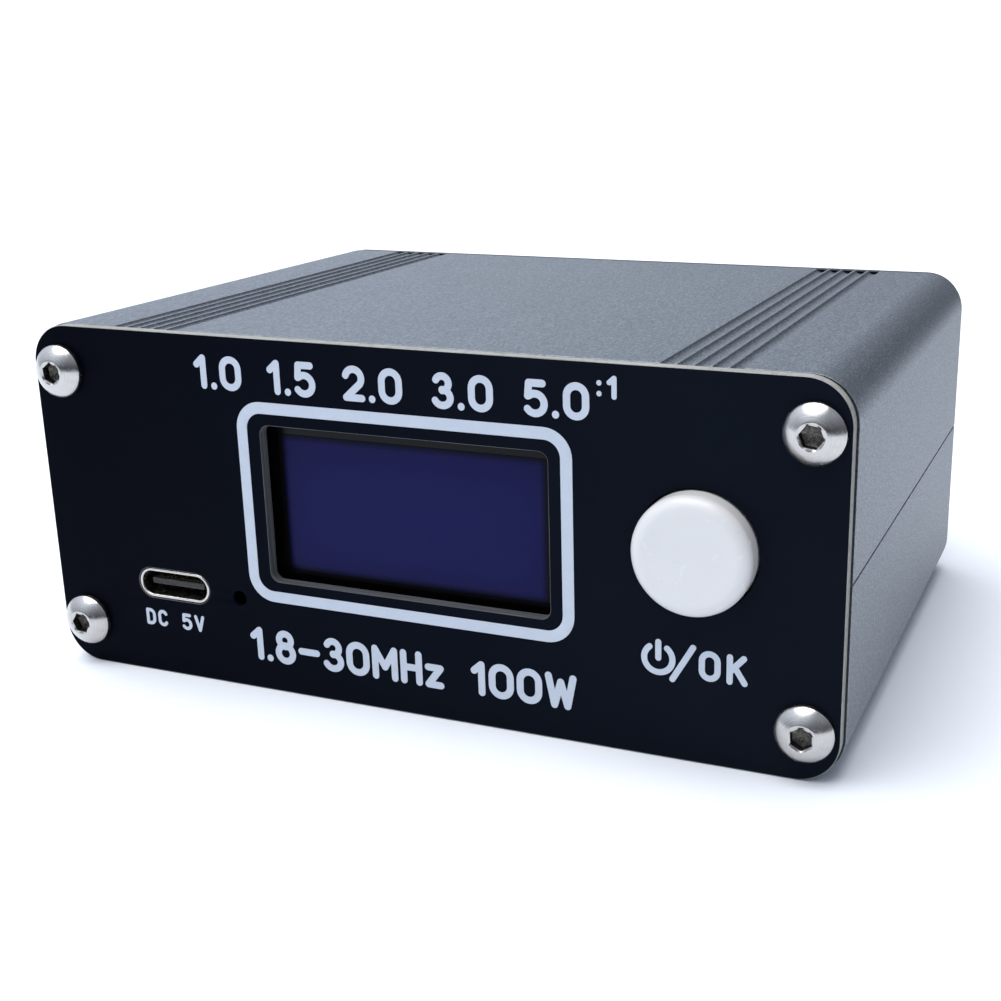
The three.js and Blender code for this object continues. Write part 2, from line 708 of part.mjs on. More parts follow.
function addBattery() {
  const { left, right, front, back, thickness } = BATTERY;
  const outline = roundedRectangle(
    (front + back) / 2,
    BOARD_TOP + thickness / 2,
    back - front,
    thickness,
    2.4,
    4,
  );
  addPart('battery_cell', extrudeAlongX(outline, left, right), 'batteryWrap');
}

const BATTERY_SOCKET = { x: 4, y: -11, halfX: 2.4, halfY: 3, height: 5.6 };

function addBatterySocket() {
  const { x, y, halfX, halfY, height } = BATTERY_SOCKET;
  const wall = 0.8;
  const block = box([x - halfX, y - halfY, BOARD_TOP], [x + halfX, y + halfY, BOARD_TOP + height]);
  const mouth = box(
    [x - halfX - wall, y - halfY + wall, BOARD_TOP + wall],
    [x + halfX - wall, y + halfY - wall, BOARD_TOP + height - wall],
  );
  addPart('battery_socket', cut(block, mouth), 'socketWhite');
}

// Two leads run from the cell's end into the mouth of the battery socket.
function addBatteryLeads() {
  const leads = [
    { name: 'battery_lead_red', offset: 1, finish: 'wireRed' },
    { name: 'battery_lead_black', offset: -1, finish: 'wireBlack' },
  ];
  const radius = 0.6;
  const mouthX = BATTERY_SOCKET.x - BATTERY_SOCKET.halfX;
  for (const { name, offset, finish } of leads) {
    const y = BATTERY_SOCKET.y + offset;
    const points = [
      [BATTERY.right + 0.1, y, BOARD_TOP + 3.4],
      [BATTERY.right + 2, y + offset * 0.6, BOARD_TOP + 3.6],
      [mouthX - 1.6, y + offset * 0.3, BOARD_TOP + 2.6],
      [mouthX + 1.4, y, BOARD_TOP + 2.5],
    ];
    addPart(name, wire(points, radius, 8, 16), finish);
  }
}

// ---------------------------------------------------------------- coupler

const RING_CENTRE_RADIUS = (RING_OUTER_RADIUS + RING_INNER_RADIUS) / 2;
const WINDING_RADIAL = (RING_OUTER_RADIUS - RING_INNER_RADIUS) / 2 + 0.65;
const WINDING_AXIAL = RING_LENGTH / 2 + 0.7;
const RING_Z = BOARD_TOP + RING_CENTRE_RADIUS + WINDING_RADIAL + WINDING_WIRE_RADIUS + 0.2;

const TRANSFORMERS = [
  { name: 'line', centre: [0, 17, RING_Z] },
  { name: 'sense', centre: [0, 1, RING_Z] },
];

// A ferrite ring with its axis along X and chamfered edges.
function ferriteRing() {
  const chamfer = 0.6;
  const half = RING_LENGTH / 2;
  return turnedRing([
    [RING_INNER_RADIUS + chamfer, -half],
    [RING_OUTER_RADIUS - chamfer, -half],
    [RING_OUTER_RADIUS, chamfer - half],
    [RING_OUTER_RADIUS, half - chamfer],
    [RING_OUTER_RADIUS - chamfer, half],
    [RING_INNER_RADIUS + chamfer, half],
    [RING_INNER_RADIUS, half - chamfer],
    [RING_INNER_RADIUS, chamfer - half],
  ], FACETS_MEDIUM).rotateZ(-Math.PI / 2);
}

// Enamelled wire wound round the ring, with both ends brought down to the board.
function ringWinding() {
  const turnPoints = 10;
  const arcDegrees = 290;
  const firstDegrees = -90 + (360 - arcDegrees) / 2;
  const count = WINDING_TURNS * turnPoints;
  const squareness = 0.5;
  const loops = Array.from({ length: count + 1 }, (_, i) => {
    const around = (2 * Math.PI * i) / turnPoints;
    const along = THREE.MathUtils.degToRad(firstDegrees + arcDegrees * (i / count));
    const swell = (value) => Math.sign(value) * Math.abs(value) ** squareness;
    const radius = RING_CENTRE_RADIUS + WINDING_RADIAL * swell(Math.cos(around));
    const axial = WINDING_AXIAL * swell(Math.sin(around));
    return [axial, radius * Math.cos(along), radius * Math.sin(along)];
  });
  const foot = BOARD_TOP - RING_Z + 0.05;
  const [first, last] = [loops[0], loops[count]];
  const points = [[first[0], first[1], foot], ...loops, [last[0], last[1], foot]];
  return wire(points, WINDING_WIRE_RADIUS, 5, count + 4);
}

function addTransformers() {
  for (const { name, centre } of TRANSFORMERS) {
    addPart(`${name}_ferrite_ring`, ferriteRing(), 'ferrite', centre);
    addPart(`${name}_winding`, ringWinding(), 'copper', centre);
  }
}

// The main conductor runs from one radio socket to the other through the first ring.
function addLineConductor() {
  const radius = 1;
  const endY = 25.6;
  const [, ringY, ringZ] = TRANSFORMERS[0].centre;
  const leftHalf = [
    [-RF_SOCKET_X, endY, RF_SOCKET_Z],
    [-RF_SOCKET_X, endY - 2.5, RF_SOCKET_Z],
    [-RF_SOCKET_X + 1.2, endY - 5.5, RF_SOCKET_Z - 0.3],
    [-RF_SOCKET_X + 6.5, ringY, ringZ + 0.6],
    [-8, ringY, ringZ],
  ];
  const rightHalf = leftHalf.map(([x, y, z]) => [-x, y, z]).reverse();
  addPart('line_conductor', wire([...leftHalf, ...rightHalf], radius, 8, 48), 'copper');
}

// A staple of wire through the second ring, standing on the board at both ends.
function addSenseLink() {
  const radius = 0.5;
  const halfSpan = 7;
  const bend = 1.5;
  const [x, y, z] = TRANSFORMERS[1].centre;
  const foot = BOARD_TOP + 0.05;
  const points = [
    [x - halfSpan, y, foot],
    [x - halfSpan, y, z - bend],
    [x - halfSpan + bend, y, z],
    [x + halfSpan - bend, y, z],
    [x + halfSpan, y, z - bend],
    [x + halfSpan, y, foot],
  ];
  addPart('sense_link', wire(points, radius, 8, 36), 'copper');
}

// ---------------------------------------------------------------- radio sockets

const RF_BODY_INNER_END = SHELL_BACK - 1.5;
const RF_SHOULDER = BACK_FACE + 1;
const RF_INSULATOR_BORE = 5;
const RF_MOUTH_BORE = 6.3;
const RF_MOUTH_FLOOR = FLANGE_FACE + 3.9;

function radioSocketBody() {
  const barrel = turnedRing([
    [RF_INSULATOR_BORE, RF_BODY_INNER_END],
    [RF_SPIGOT_RADIUS, RF_BODY_INNER_END],
    [RF_SPIGOT_RADIUS, RF_SHOULDER],
    [RF_BARREL_RADIUS, RF_SHOULDER],
    [RF_BARREL_RADIUS, BARREL_END],
    [RF_MOUTH_BORE, BARREL_END],
    [RF_MOUTH_BORE, RF_MOUTH_FLOOR],
    [RF_INSULATOR_BORE, RF_MOUTH_FLOOR],
  ], FACETS_LARGE);
  const holes = flangeHolePlaces(0).map(([x, z]) => {
    return circle(x, z - RF_SOCKET_Z, SCREW_HOLE_RADIUS, FACETS_SMALL);
  });
  const centreHole = circle(0, 0, (RF_INSULATOR_BORE + RF_SPIGOT_RADIUS) / 2, FACETS_MEDIUM);
  const cornerRadius = 1.5;
  const outline = roundedRectangle(0, 0, RF_FLANGE_SIDE, RF_FLANGE_SIDE, cornerRadius, 3);
  const flange = extrudeAlongY(outline, [...holes, centreHole], BACK_FACE, FLANGE_FACE);
  return join(barrel, flange);
}

function radioSocketInsulator() {
  const bore = 2.15;
  const clearance = 0.1;
  const innerEnd = SHELL_BACK - 2.5;
  const outerEnd = RF_MOUTH_FLOOR + 1.5;
  return turnedRing([
    [bore, innerEnd],
    [RF_INSULATOR_BORE - clearance, innerEnd],
    [RF_INSULATOR_BORE - clearance, RF_MOUTH_FLOOR + clearance],
    [RF_MOUTH_BORE - clearance, RF_MOUTH_FLOOR + clearance],
    [RF_MOUTH_BORE - clearance, outerEnd],
    [bore, outerEnd],
  ], FACETS_MEDIUM);
}

// The centre contact: a solder cup inside the case, and a sleeve for the plug's pin outside.
function radioSocketContact() {
  const shaft = 2;
  const cup = { bore: 1.35, mouth: 22.6, floor: 26.2 };
  const sleeve = { radius: 2.7, bore: 2, start: RF_MOUTH_FLOOR + 1.6, end: BARREL_END - 1.5 };
  const sleeveFloor = sleeve.start + 1.4;
  return turned([
    [0, cup.floor],
    [cup.bore, cup.floor],
    [cup.bore, cup.mouth],
    [shaft, cup.mouth],
    [shaft, sleeve.start],
    [sleeve.radius, sleeve.start],
    [sleeve.radius, sleeve.end],
    [sleeve.bore, sleeve.end],
    [sleeve.bore, sleeveFloor],
    [0, sleeveFloor],
  ], FACETS_MEDIUM);
}

function hexNut() {
  const bore = circle(0, 0, BOSS_BORE_RADIUS, FACETS_SMALL);
  return extrudeAlongY(hexagon(NUT_ACROSS_FLATS), [bore], SHELL_BACK - NUT_HEIGHT, SHELL_BACK);
}

function addRadioSockets() {
  for (const { name, x } of RF_SOCKETS) {
    const place = [x, 0, RF_SOCKET_Z];
    addPart(`rf_${name}_body`, radioSocketBody(), 'nickel', place);
    addPart(`rf_${name}_insulator`, radioSocketInsulator(), 'ptfe', place);
    addPart(`rf_${name}_contact`, radioSocketContact(), 'gold', place);
    flangeHolePlaces(x).forEach(([screwX, screwZ], i) => {
      const screw = buttonHeadScrew().rotateX(Math.PI);
      addPart(`rf_${name}_screw_${i + 1}`, screw, 'steel', [screwX, FLANGE_FACE, screwZ]);
      addPart(`rf_${name}_nut_${i + 1}`, hexNut(), 'steel', [screwX, 0, screwZ]);
    });
  }
}

// ---------------------------------------------------------------- assembly

addShells();
addFrontPanel();
addRearPanel();
addCaseScrews();
addDisplayGlass();
addDisplayPad();
addDisplayRibbon();
addDisplayBoard();
addBoardHeader();
addSwitchHousing();
addSwitchDome();
addSwitchPlunger();
addButtonCap();
addMainBoard();
addPowerSocket();
addChargeLight();
addController();
addBattery();
addBatterySocket();
addBatteryLeads();
addTransformers();
addLineConductor();
addSenseLink();
addRadioSockets();

export default meter;
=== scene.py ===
"""The looks of a small SWR and power meter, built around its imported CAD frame.

Lengths in this script are in millimetres, in the CAD frame: +X is right along the front panel,
+Y runs from the front to the back, and +Z is up. add_piece() turns them into Blender's metres.
"""

import math

import bmesh
import bpy
from mathutils import Matrix, Quaternion, Vector
from mathutils.geometry import delaunay_2d_cdt, tessellate_polygon


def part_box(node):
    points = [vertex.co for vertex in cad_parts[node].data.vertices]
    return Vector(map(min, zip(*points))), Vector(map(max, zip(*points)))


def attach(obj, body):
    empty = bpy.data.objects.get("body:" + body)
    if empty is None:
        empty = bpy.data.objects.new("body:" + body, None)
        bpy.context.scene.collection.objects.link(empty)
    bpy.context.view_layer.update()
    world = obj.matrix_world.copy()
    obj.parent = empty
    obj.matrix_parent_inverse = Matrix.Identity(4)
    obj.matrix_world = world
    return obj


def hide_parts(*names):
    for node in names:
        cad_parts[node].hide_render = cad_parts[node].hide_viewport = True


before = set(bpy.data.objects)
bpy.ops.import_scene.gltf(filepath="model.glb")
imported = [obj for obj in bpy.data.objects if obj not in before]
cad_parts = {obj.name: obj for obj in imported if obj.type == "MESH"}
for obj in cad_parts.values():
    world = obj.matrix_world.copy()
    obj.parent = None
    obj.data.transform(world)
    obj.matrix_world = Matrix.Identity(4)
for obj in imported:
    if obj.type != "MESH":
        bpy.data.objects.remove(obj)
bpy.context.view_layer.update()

MM = 0.001


def cad(node):
    """The lowest and highest corners of a CAD node, in millimetres."""
    low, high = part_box(node)
    return low / MM, high / MM


def middle(node):
    low, high = cad(node)
    return (low + high) / 2


# ---------------- places, from the CAD frame

SHELL_LOW, SHELL_HIGH = cad("top_shell")
HALF_WIDTH = SHELL_HIGH.x
CASE_TOP = SHELL_HIGH.z
MID_HEIGHT = CASE_TOP / 2
SHELL_FRONT = SHELL_LOW.y
SHELL_BACK = SHELL_HIGH.y
FRONT_FACE = cad("front_panel")[0].y
BACK_FACE = cad("rear_panel")[1].y
PANEL_SIZE = cad("front_panel")[1] - cad("front_panel")[0]
CORNER_RADIUS = 4.3
SCREW_X = middle("front_screw_top_right").x
SCREW_RISE = middle("front_screw_top_right").z - MID_HEIGHT
SCREW_HOLE_RADIUS = 1.65
CAP_CENTRE = middle("button_cap")
RF_SIDES = ("left", "right")
RF_HOLE_OFFSET = 9.1
RF_SPIGOT_HOLE_RADIUS = 6.4

WINDOW = (-0.28, 20.78, 31.45, 16.65, 1.0)  # x, z, width, height and corner radius


# ---------------- outlines, as lists of (x, z)

def arc(x, z, radius, start, end, steps, squash=1.0):
    """Points on an arc from one angle to another, in degrees, anticlockwise from +X."""
    angles = [math.radians(start + (end - start) * i / steps) for i in range(steps + 1)]
    return [(x + radius * math.cos(a), z + radius * squash * math.sin(a)) for a in angles]


def circle(x, z, radius, steps):
    return arc(x, z, radius, 0, 360, steps)[:-1]


def rounded_rectangle(x, z, width, height, radius, steps=8):
    right, left = x + width / 2 - radius, x - width / 2 + radius
    top, bottom = z + height / 2 - radius, z - height / 2 + radius
    return (
        arc(right, top, radius, 0, 90, steps)
        + arc(left, top, radius, 90, 180, steps)
        + arc(left, bottom, radius, 180, 270, steps)
        + arc(right, bottom, radius, 270, 360, steps)
    )


def stadium(x, z, width, height, steps=10):
    """A slot whose ends are a hair short of full rounds, so that no two points meet."""
    return rounded_rectangle(x, z, width, height, height / 2 - 0.01, steps)


def filleted(corners, degrees_per_step):
    """The outline through corners (x, z, radius), with each corner rounded to its radius."""
    outline = []
    count = len(corners)
    for i, (x, z, radius) in enumerate(corners):
        here = Vector((x, z))
        back = (Vector(corners[i - 1][:2]) - here).normalized()
        ahead = (Vector(corners[(i + 1) % count][:2]) - here).normalized()
        half = back.angle(ahead, math.pi) / 2
        turn = math.pi - 2 * half
        if radius == 0 or turn < 0.02:
            outline.append((x, z))
            continue
        centre = here + (back + ahead).normalized() * (radius / math.sin(half))
        start = here + back * (radius / math.tan(half)) - centre
        end = here + ahead * (radius / math.tan(half)) - centre
        side = 1 if start.cross(end) > 0 else -1
        steps = max(2, round(math.degrees(turn) / degrees_per_step))
        for step in range(steps + 1):
            spoke = start.copy()
            spoke.rotate(Matrix.Rotation(side * turn * step / steps, 2))
            outline.append(tuple(centre + spoke))
    return outline


def oriented(loop, anticlockwise):
    """The loop, turned round if it runs the wrong way."""
    pairs = zip(loop, loop[1:] + loop[:1])
    area = sum(a[0] * b[1] - b[0] * a[1] for a, b in pairs)
    return loop if (area > 0) == anticlockwise else loop[::-1]


def inset(loop, distance):
    """The loop moved to its left by a distance, with mitred corners."""
    moved = []
    for i, point in enumerate(loop):
        here = Vector(point)
        before = (here - Vector(loop[i - 1])).normalized()
        after = (Vector(loop[(i + 1) % len(loop)]) - here).normalized()
        left_before, left_after = Vector((-before.y, before.x)), Vector((-after.y, after.x))
        mitre = (left_before + left_after) / max(0.3, 1 + left_before.dot(left_after))
        moved.append(tuple(here + mitre * distance))
    return moved


# ---------------- shapes

class Shape:
    """Points and the faces between them. Each face has the number of its material."""

    def __init__(self):
        self.points = []
        self.faces = []
        self.paints = []

    def add(self, points, faces, paint=0):
        start = len(self.points)
        self.points += [Vector(point) for point in points]
        self.faces += [[start + i for i in face] for face in faces]
        self.paints += [paint] * len(faces)
        return self

    def loft(self, rings, closed=False, paint=0, wrapped=True):
        """Skins over rings of equal length, or over open rows. A ring of one point is a pole."""
        points, starts = [], []
        for ring in rings:
            starts.append(len(points))
            points += ring
        faces = []
        last = len(rings) if closed else len(rings) - 1
        for r in range(last):
            near, far = rings[r], rings[(r + 1) % len(rings)]
            a, b = starts[r], starts[(r + 1) % len(rings)]
            count = max(len(near), len(far))
            for i in range(count if wrapped else count - 1):
                j = (i + 1) % count
                if len(near) == 1:
                    faces.append((a, b + j, b + i))
                elif len(far) == 1:
                    faces.append((a + i, a + j, b))
                else:
                    faces.append((a + i, a + j, b + j, b + i))
        return self.add(points, faces, paint)

    def flat(self, rings, paint=0):
        """A face across Y. The first ring is its outline and the others are holes in it."""
        outlines = [[Vector((x, z, 0)) for x, _, z in ring] for ring in rings]
        points = [point for ring in rings for point in ring]
        return self.add(points, tessellate_polygon(outlines), paint)

    def slab(self, outer, holes, front, back, edge=0.1, steps=2, face_paint=0, side_paint=0,
             hole_paints=None):
        """A plate along Y whose edges are rounded. The outlines are in (x, z)."""
        loops = [oriented(outer, True)] + [oriented(hole, False) for hole in holes]
        wall_paints = [side_paint, *(hole_paints or [side_paint] * len(holes))]
        turns = [math.pi / 2 * i / steps for i in range(steps + 1)]
        levels = [(edge * (1 - math.sin(a)), front + edge * (1 - math.cos(a))) for a in turns]
        levels += [(depth, front + back - y) for depth, y in reversed(levels)]
        walls = [[[(x, y, z) for x, z in inset(loop, depth)] for depth, y in levels] for loop in loops]
        for rings, paint in zip(walls, wall_paints):
            self.loft(rings, paint=paint)
        for end in (0, -1):
            self.flat([rings[end] for rings in walls], face_paint)
        return self

    def block(self, low, high, edge):
        """A box with rounded edges. Its corners are a hair rounder, so that no two points meet."""
        centre_x, centre_z = (low[0] + high[0]) / 2, (low[2] + high[2]) / 2
        width, height = high[0] - low[0], high[2] - low[2]
        outline = rounded_rectangle(centre_x, centre_z, width, height, edge * 1.01, 2)
        return self.slab(outline, [], low[1], high[1], edge)

    def turned(self, profile, steps, closed=False):
        """A solid of revolution about the Y axis. The profile is a list of (radius, y)."""
        return self.loft(round_rings(profile, steps), closed)

    def moved(self, x=0.0, y=0.0, z=0.0, turn=None):
        """The same shape, turned about its own origin and then moved."""
        turn = turn or Matrix.Identity(3)
        self.points = [turn @ point + Vector((x, y, z)) for point in self.points]
        return self


def round_rings(profile, steps, turn=0):
    """A ring about the Y axis for each (radius, y), with its first point at an angle of turn."""
    angles = [2 * math.pi * i / steps + turn for i in range(steps)]
    return [
        [(radius * math.cos(a), y, radius * math.sin(a)) for a in angles] if radius else [(0, y, 0)]
        for radius, y in profile
    ]


ABOUT_FACE = Matrix.Rotation(math.pi, 3, "Z")


def add_piece(name, shape, finishes, body="case", replaced=(), origin=(0, 0, 0), sharp=40):
    """A Blender object from a shape, smooth except where its faces meet at a sharp angle."""
    origin = Vector(origin)
    mesh = bpy.data.meshes.new(name)
    mesh.from_pydata([(point - origin) * MM for point in shape.points], [], shape.faces)
    for finish in finishes:
        mesh.materials.append(finish)
    mesh.polygons.foreach_set("material_index", shape.paints)
    work = bmesh.new()
    work.from_mesh(mesh)
    bmesh.ops.remove_doubles(work, verts=work.verts, dist=1e-7)
    bmesh.ops.dissolve_degenerate(work, edges=work.edges, dist=1e-8)
    bmesh.ops.recalc_face_normals(work, faces=work.faces)
    work.to_mesh(mesh)
    work.free()
    mesh.shade_smooth()
    mesh.set_sharp_from_angle(angle=math.radians(sharp))
    piece = bpy.data.objects.new(name, mesh)
    piece.location = origin * MM
    bpy.context.scene.collection.objects.link(piece)
    even = piece.modifiers.new("even_normals", "WEIGHTED_NORMAL")
    even.keep_sharp = True
    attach(piece, body)
    if replaced:
        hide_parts(*replaced)
    return piece


# ---------------- material building blocks

def add_node(tree, kind, inputs, **settings):
    """A node whose inputs are given as links or as values, by name or by number."""
    made = tree.nodes.new(kind)
    for key, value in settings.items():
        setattr(made, key, value)
    for socket, value in inputs.items():
        if isinstance(value, bpy.types.NodeSocket):
            tree.links.new(value, made.inputs[socket])
        else:
            made.inputs[socket].default_value = value
    return made


class Finish:
    """A material being put together. Sizes of patterns are in millimetres."""

    def __init__(self, name, metallic=0.0, **sockets):
        self.material = bpy.data.materials.new(name)
        self.material.use_nodes = True
        self.tree = self.material.node_tree
        self.shader = self.tree.nodes["Principled BSDF"]
        self.shader.inputs["Metallic"].default_value = metallic
        for socket, value in sockets.items():
            self.shader.inputs[socket.replace("_", " ")].default_value = value
        self.tone = None
        self.normal = None

    def node(self, kind, inputs, **settings):
        return add_node(self.tree, kind, inputs, **settings)

    def place(self, stretch=(1, 1, 1)):
        """Object coordinates. A stretch of 20 along an axis makes a pattern 20 times as long."""
        coordinates = self.node("ShaderNodeTexCoord", {}).outputs["Object"]
        scale = tuple(1 / s for s in stretch)
        return self.node("ShaderNodeMapping", {"Vector": coordinates, "Scale": scale}).outputs[0]

    def noise(self, size, detail, stretch=(1, 1, 1), rough=0.5):
        inputs = {
            "Vector": self.place(stretch),
            "Scale": 1 / (size * MM),
            "Detail": detail,
            "Roughness": rough,
        }
        return self.node("ShaderNodeTexNoise", inputs).outputs["Fac"]

    def turning_marks(self, size):
        """Fine rings about the object's own Y axis, as a lathe leaves them."""
        flat = self.node("ShaderNodeVectorMath", {0: self.place(), 1: (1, 0, 1)}, operation="MULTIPLY")
        length = self.node("ShaderNodeVectorMath", {0: flat.outputs[0]}, operation="LENGTH")
        inputs = {"W": length.outputs["Value"], "Scale": 1 / (size * MM), "Detail": 3.0}
        return self.node("ShaderNodeTexNoise", inputs, noise_dimensions="1D").outputs["Fac"]

    def specks(self, spacing, radius):
        """Scattered round spots: 1 inside a spot and 0 outside."""
        inputs = {"Vector": self.place(), "Scale": 1 / (spacing * MM)}
        cells = self.node("ShaderNodeTexVoronoi", inputs)
        spot = self.between(cells.outputs["Distance"], radius / spacing, radius / spacing * 0.6)
        chosen = self.node("ShaderNodeSeparateColor", {"Color": cells.outputs["Color"]}).outputs[0]
        return self.times(spot, self.between(chosen, 0.6, 0.61))

    def between(self, value, zero_at, one_at, low=0.0, high=1.0):
        inputs = {0: value, 1: zero_at, 2: one_at, 3: low, 4: high}
        return self.node("ShaderNodeMapRange", inputs).outputs[0]

    def patches(self, size, detail, zero_at, one_at, high=1.0, stretch=(1, 1, 1)):
        """Noise cut into soft patches: 0 up to one of its levels, and high from another."""
        return self.between(self.noise(size, detail, stretch), zero_at, one_at, 0.0, high)

    def times(self, a, b):
        return self.node("ShaderNodeMath", {0: a, 1: b}, operation="MULTIPLY").outputs[0]

    def within(self, centre, size, soft):
        """1 inside a box seen along Y, fading to 0 at its outline over the soft width."""
        inputs = {0: self.place(), 1: centre * MM}
        offset = self.node("ShaderNodeVectorMath", inputs, operation="SUBTRACT")
        reach = self.node("ShaderNodeVectorMath", {0: offset.outputs[0]}, operation="ABSOLUTE")
        parts = self.node("ShaderNodeSeparateXYZ", {0: reach.outputs[0]}).outputs
        across = self.between(parts["X"], size.x / 2 * MM, (size.x / 2 - soft) * MM)
        upright = self.between(parts["Z"], size.z / 2 * MM, (size.z / 2 - soft) * MM)
        return self.times(across, upright)

    def edges(self, width):
        """1 on outer and inner edges about as wide as width, and 0 on plain faces."""
        rounded = self.node("ShaderNodeBevel", {"Radius": width * MM}, samples=4).outputs["Normal"]
        plain = self.node("ShaderNodeNewGeometry", {}).outputs["Normal"]
        dot = self.node("ShaderNodeVectorMath", {0: rounded, 1: plain}, operation="DOT_PRODUCT")
        return self.between(dot.outputs["Value"], 0.995, 0.93)

    def colour(self, share, first, second):
        """The base colour goes from the first colour to the second as the share goes from 0 to 1."""
        def whole(colour):
            return colour if isinstance(colour, bpy.types.NodeSocket) else (*colour, 1)
        inputs = {0: share, 6: whole(first), 7: whole(second)}
        self.tone = self.node("ShaderNodeMix", inputs, data_type="RGBA").outputs[2]
        self.tree.links.new(self.tone, self.shader.inputs["Base Color"])

    def tint(self, share, colour):
        """Lays another colour over the base colour."""
        self.colour(share, self.tone, colour)

    def wear(self, width, size, zero_at, one_at, colour):
        """Lays a colour over patches of the edges."""
        self.tint(self.times(self.edges(width), self.patches(size, 3, zero_at, one_at)), colour)

    def roughness(self, size, detail, low, high):
        """Roughness between two values, in soft patches of a size."""
        socket = self.between(self.noise(size, detail), 0.3, 0.7, low, high)
        self.tree.links.new(socket, self.shader.inputs["Roughness"])

    def bump(self, height, depth):
        """Adds a relief whose full height is depth, on top of any earlier one."""
        inputs = {"Height": height, "Distance": depth * MM, "Strength": 1.0}
        if self.normal:
            inputs["Normal"] = self.normal
        self.normal = self.node("ShaderNodeBump", inputs).outputs["Normal"]
        self.tree.links.new(self.normal, self.shader.inputs["Normal"])
        return self


def moulded(name, colour, shade, grain=0.25, depth=0.006, roughness=(0.4, 0.6), worn=None,
            **sockets):
    """A moulded or cast material: soft colour patches, a fine grain and, if asked, worn edges."""
    finish = Finish(name, **sockets)
    finish.colour(finish.patches(6, 3, 0.35, 0.65), colour, shade)
    finish.tint(finish.between(finish.noise(grain, 2), 0.62, 0.8, 0, 0.35), shade)
    if worn:
        finish.wear(0.15, 0.9, 0.4, 0.6, worn)
    finish.roughness(grain * 4, 3, *roughness)
    return finish.bump(finish.noise(grain, 2), depth).material


# ---------------- materials

def anodised_aluminium():
    """Dark grey anodised extrusion: a grain drawn out along it, faint lines, and bright edges that are
    partly wear and partly painted highlight.
    """
    finish = Finish("anodised_aluminium", metallic=0.85, Specular_IOR_Level=0.4)
    patches = finish.patches(7, 4, 0.35, 0.65, stretch=(1, 2, 1))
    finish.colour(patches, (0.176, 0.200, 0.224), (0.184, 0.208, 0.233))
    lines = finish.patches(0.3, 3, 0.45, 0.75, 0.15, stretch=(1, 60, 1))
    finish.tint(lines, (0.140, 0.157, 0.182))
    grain = finish.noise(0.17, 2, (1, 3, 1), 0.6)
    finish.tint(finish.between(grain, 0.52, 0.68, 0, 0.5), (0.36, 0.385, 0.42))
    finish.tint(finish.between(grain, 0.48, 0.32, 0, 0.5), (0.060, 0.072, 0.090))
    # Pale edges: partly real wear, partly a painted highlight where the ridges between the grooves
    # catch the light.
    finish.wear(0.12, 0.7, 0.35, 0.6, (0.42, 0.445, 0.48))
    finish.tint(finish.specks(4.5, 0.09), (0.6, 0.62, 0.65))
    finish.roughness(0.5, 3, 0.44, 0.5)
    finish.bump(finish.noise(0.5, 3, (1, 40, 1)), 0.001)
    return finish.bump(grain, 0.03).material


def solder_mask():
    """Black solder mask over a circuit board: satin, very slightly uneven, with a little dust, and
    painted shade that darkens it towards its left.
    """
    finish = Finish("solder_mask", Specular_IOR_Level=0.03, Specular_Tint=(0.5, 0.72, 1.0, 1.0))
    finish.colour(finish.noise(7, 4), (0.0034, 0.0048, 0.0092), (0.0056, 0.0076, 0.0128))
    # Painted shade: the mask is tinted darker from x = 30 mm to x = -40 mm.
    across = finish.node("ShaderNodeSeparateXYZ", {0: finish.place()}).outputs["X"]
    finish.tint(finish.between(across, 30 * MM, -40 * MM), (0.0006, 0.0008, 0.0034))
    finish.tint(finish.specks(5.5, 0.05), (0.42, 0.44, 0.48))
    finish.roughness(2.5, 4, 0.34, 0.42)
    finish.bump(finish.noise(1.4, 2), 0.0012)
    return finish.bump(finish.noise(0.22, 2), 0.0016).material


def fibreglass():
    """The routed edge of a board: thin glass layers in pale tan resin."""
    finish = Finish("fibreglass", Specular_IOR_Level=0.4)
    layers = finish.noise(0.16, 2, (60, 1, 60))
    finish.colour(finish.between(layers, 0.35, 0.65), (0.26, 0.258, 0.235), (0.40, 0.40, 0.38))
    finish.tint(finish.patches(0.8, 3, 0.5, 0.7, 0.6), (0.20, 0.19, 0.165))
    finish.roughness(0.4, 2, 0.5, 0.75)
    return finish.bump(layers, 0.02).material


def layered_edge(name, dark, pale):
    """A cut through a board, painted darker as shade: its thin glass layers show faintly."""
    finish = Finish(name, Specular_IOR_Level=0.3)
    layers = finish.noise(0.16, 2, (60, 1, 60))
    finish.colour(finish.between(layers, 0.35, 0.65), dark, pale)
    finish.roughness(0.4, 2, 0.5, 0.7)
    return finish.bump(layers, 0.02).material


def painted_shade_fibreglass():
    """The rear board's edge, painted dark as shade so that the case's far top edge shows a dark line.
    """
    return layered_edge("painted_shade_fibreglass", (0.022, 0.024, 0.026), (0.055, 0.058, 0.060))


def shaded_hole_wall():
    """The wall of a hole through a board, painted darker than the board's rim as shade in the hole."""
    # Painted shade in the hole: these tones are far darker than the rim's.
    return layered_edge("shaded_hole_wall", (0.060, 0.063, 0.069), (0.122, 0.128, 0.137))


def shaded_cut_end():
    """The sawn end of the extrusion, finely scored across, and painted dark as shade."""
    finish = Finish("shaded_cut_end", metallic=0.4, Specular_IOR_Level=0.3)
    scores = finish.noise(0.12, 2, (25, 1, 1))
    # Painted shade: the sawn end is made much darker than the anodised faces.
    finish.colour(finish.between(scores, 0.35, 0.65), (0.018, 0.020, 0.024), (0.045, 0.049, 0.056))
    finish.roughness(0.5, 2, 0.4, 0.6)
    return finish.bump(scores, 0.008).material


def printed_ink():
    """White screen ink, a little uneven and pitted."""
    finish = Finish("printed_ink", Specular_IOR_Level=0.4)
    finish.colour(finish.noise(1.2, 4), (0.50, 0.56, 0.65), (0.555, 0.615, 0.705))
    finish.tint(finish.patches(0.12, 2, 0.6, 0.75, 0.35), (0.36, 0.40, 0.46))
    finish.roughness(0.5, 2, 0.45, 0.6)
    return finish.bump(finish.noise(0.14, 2), 0.004).material


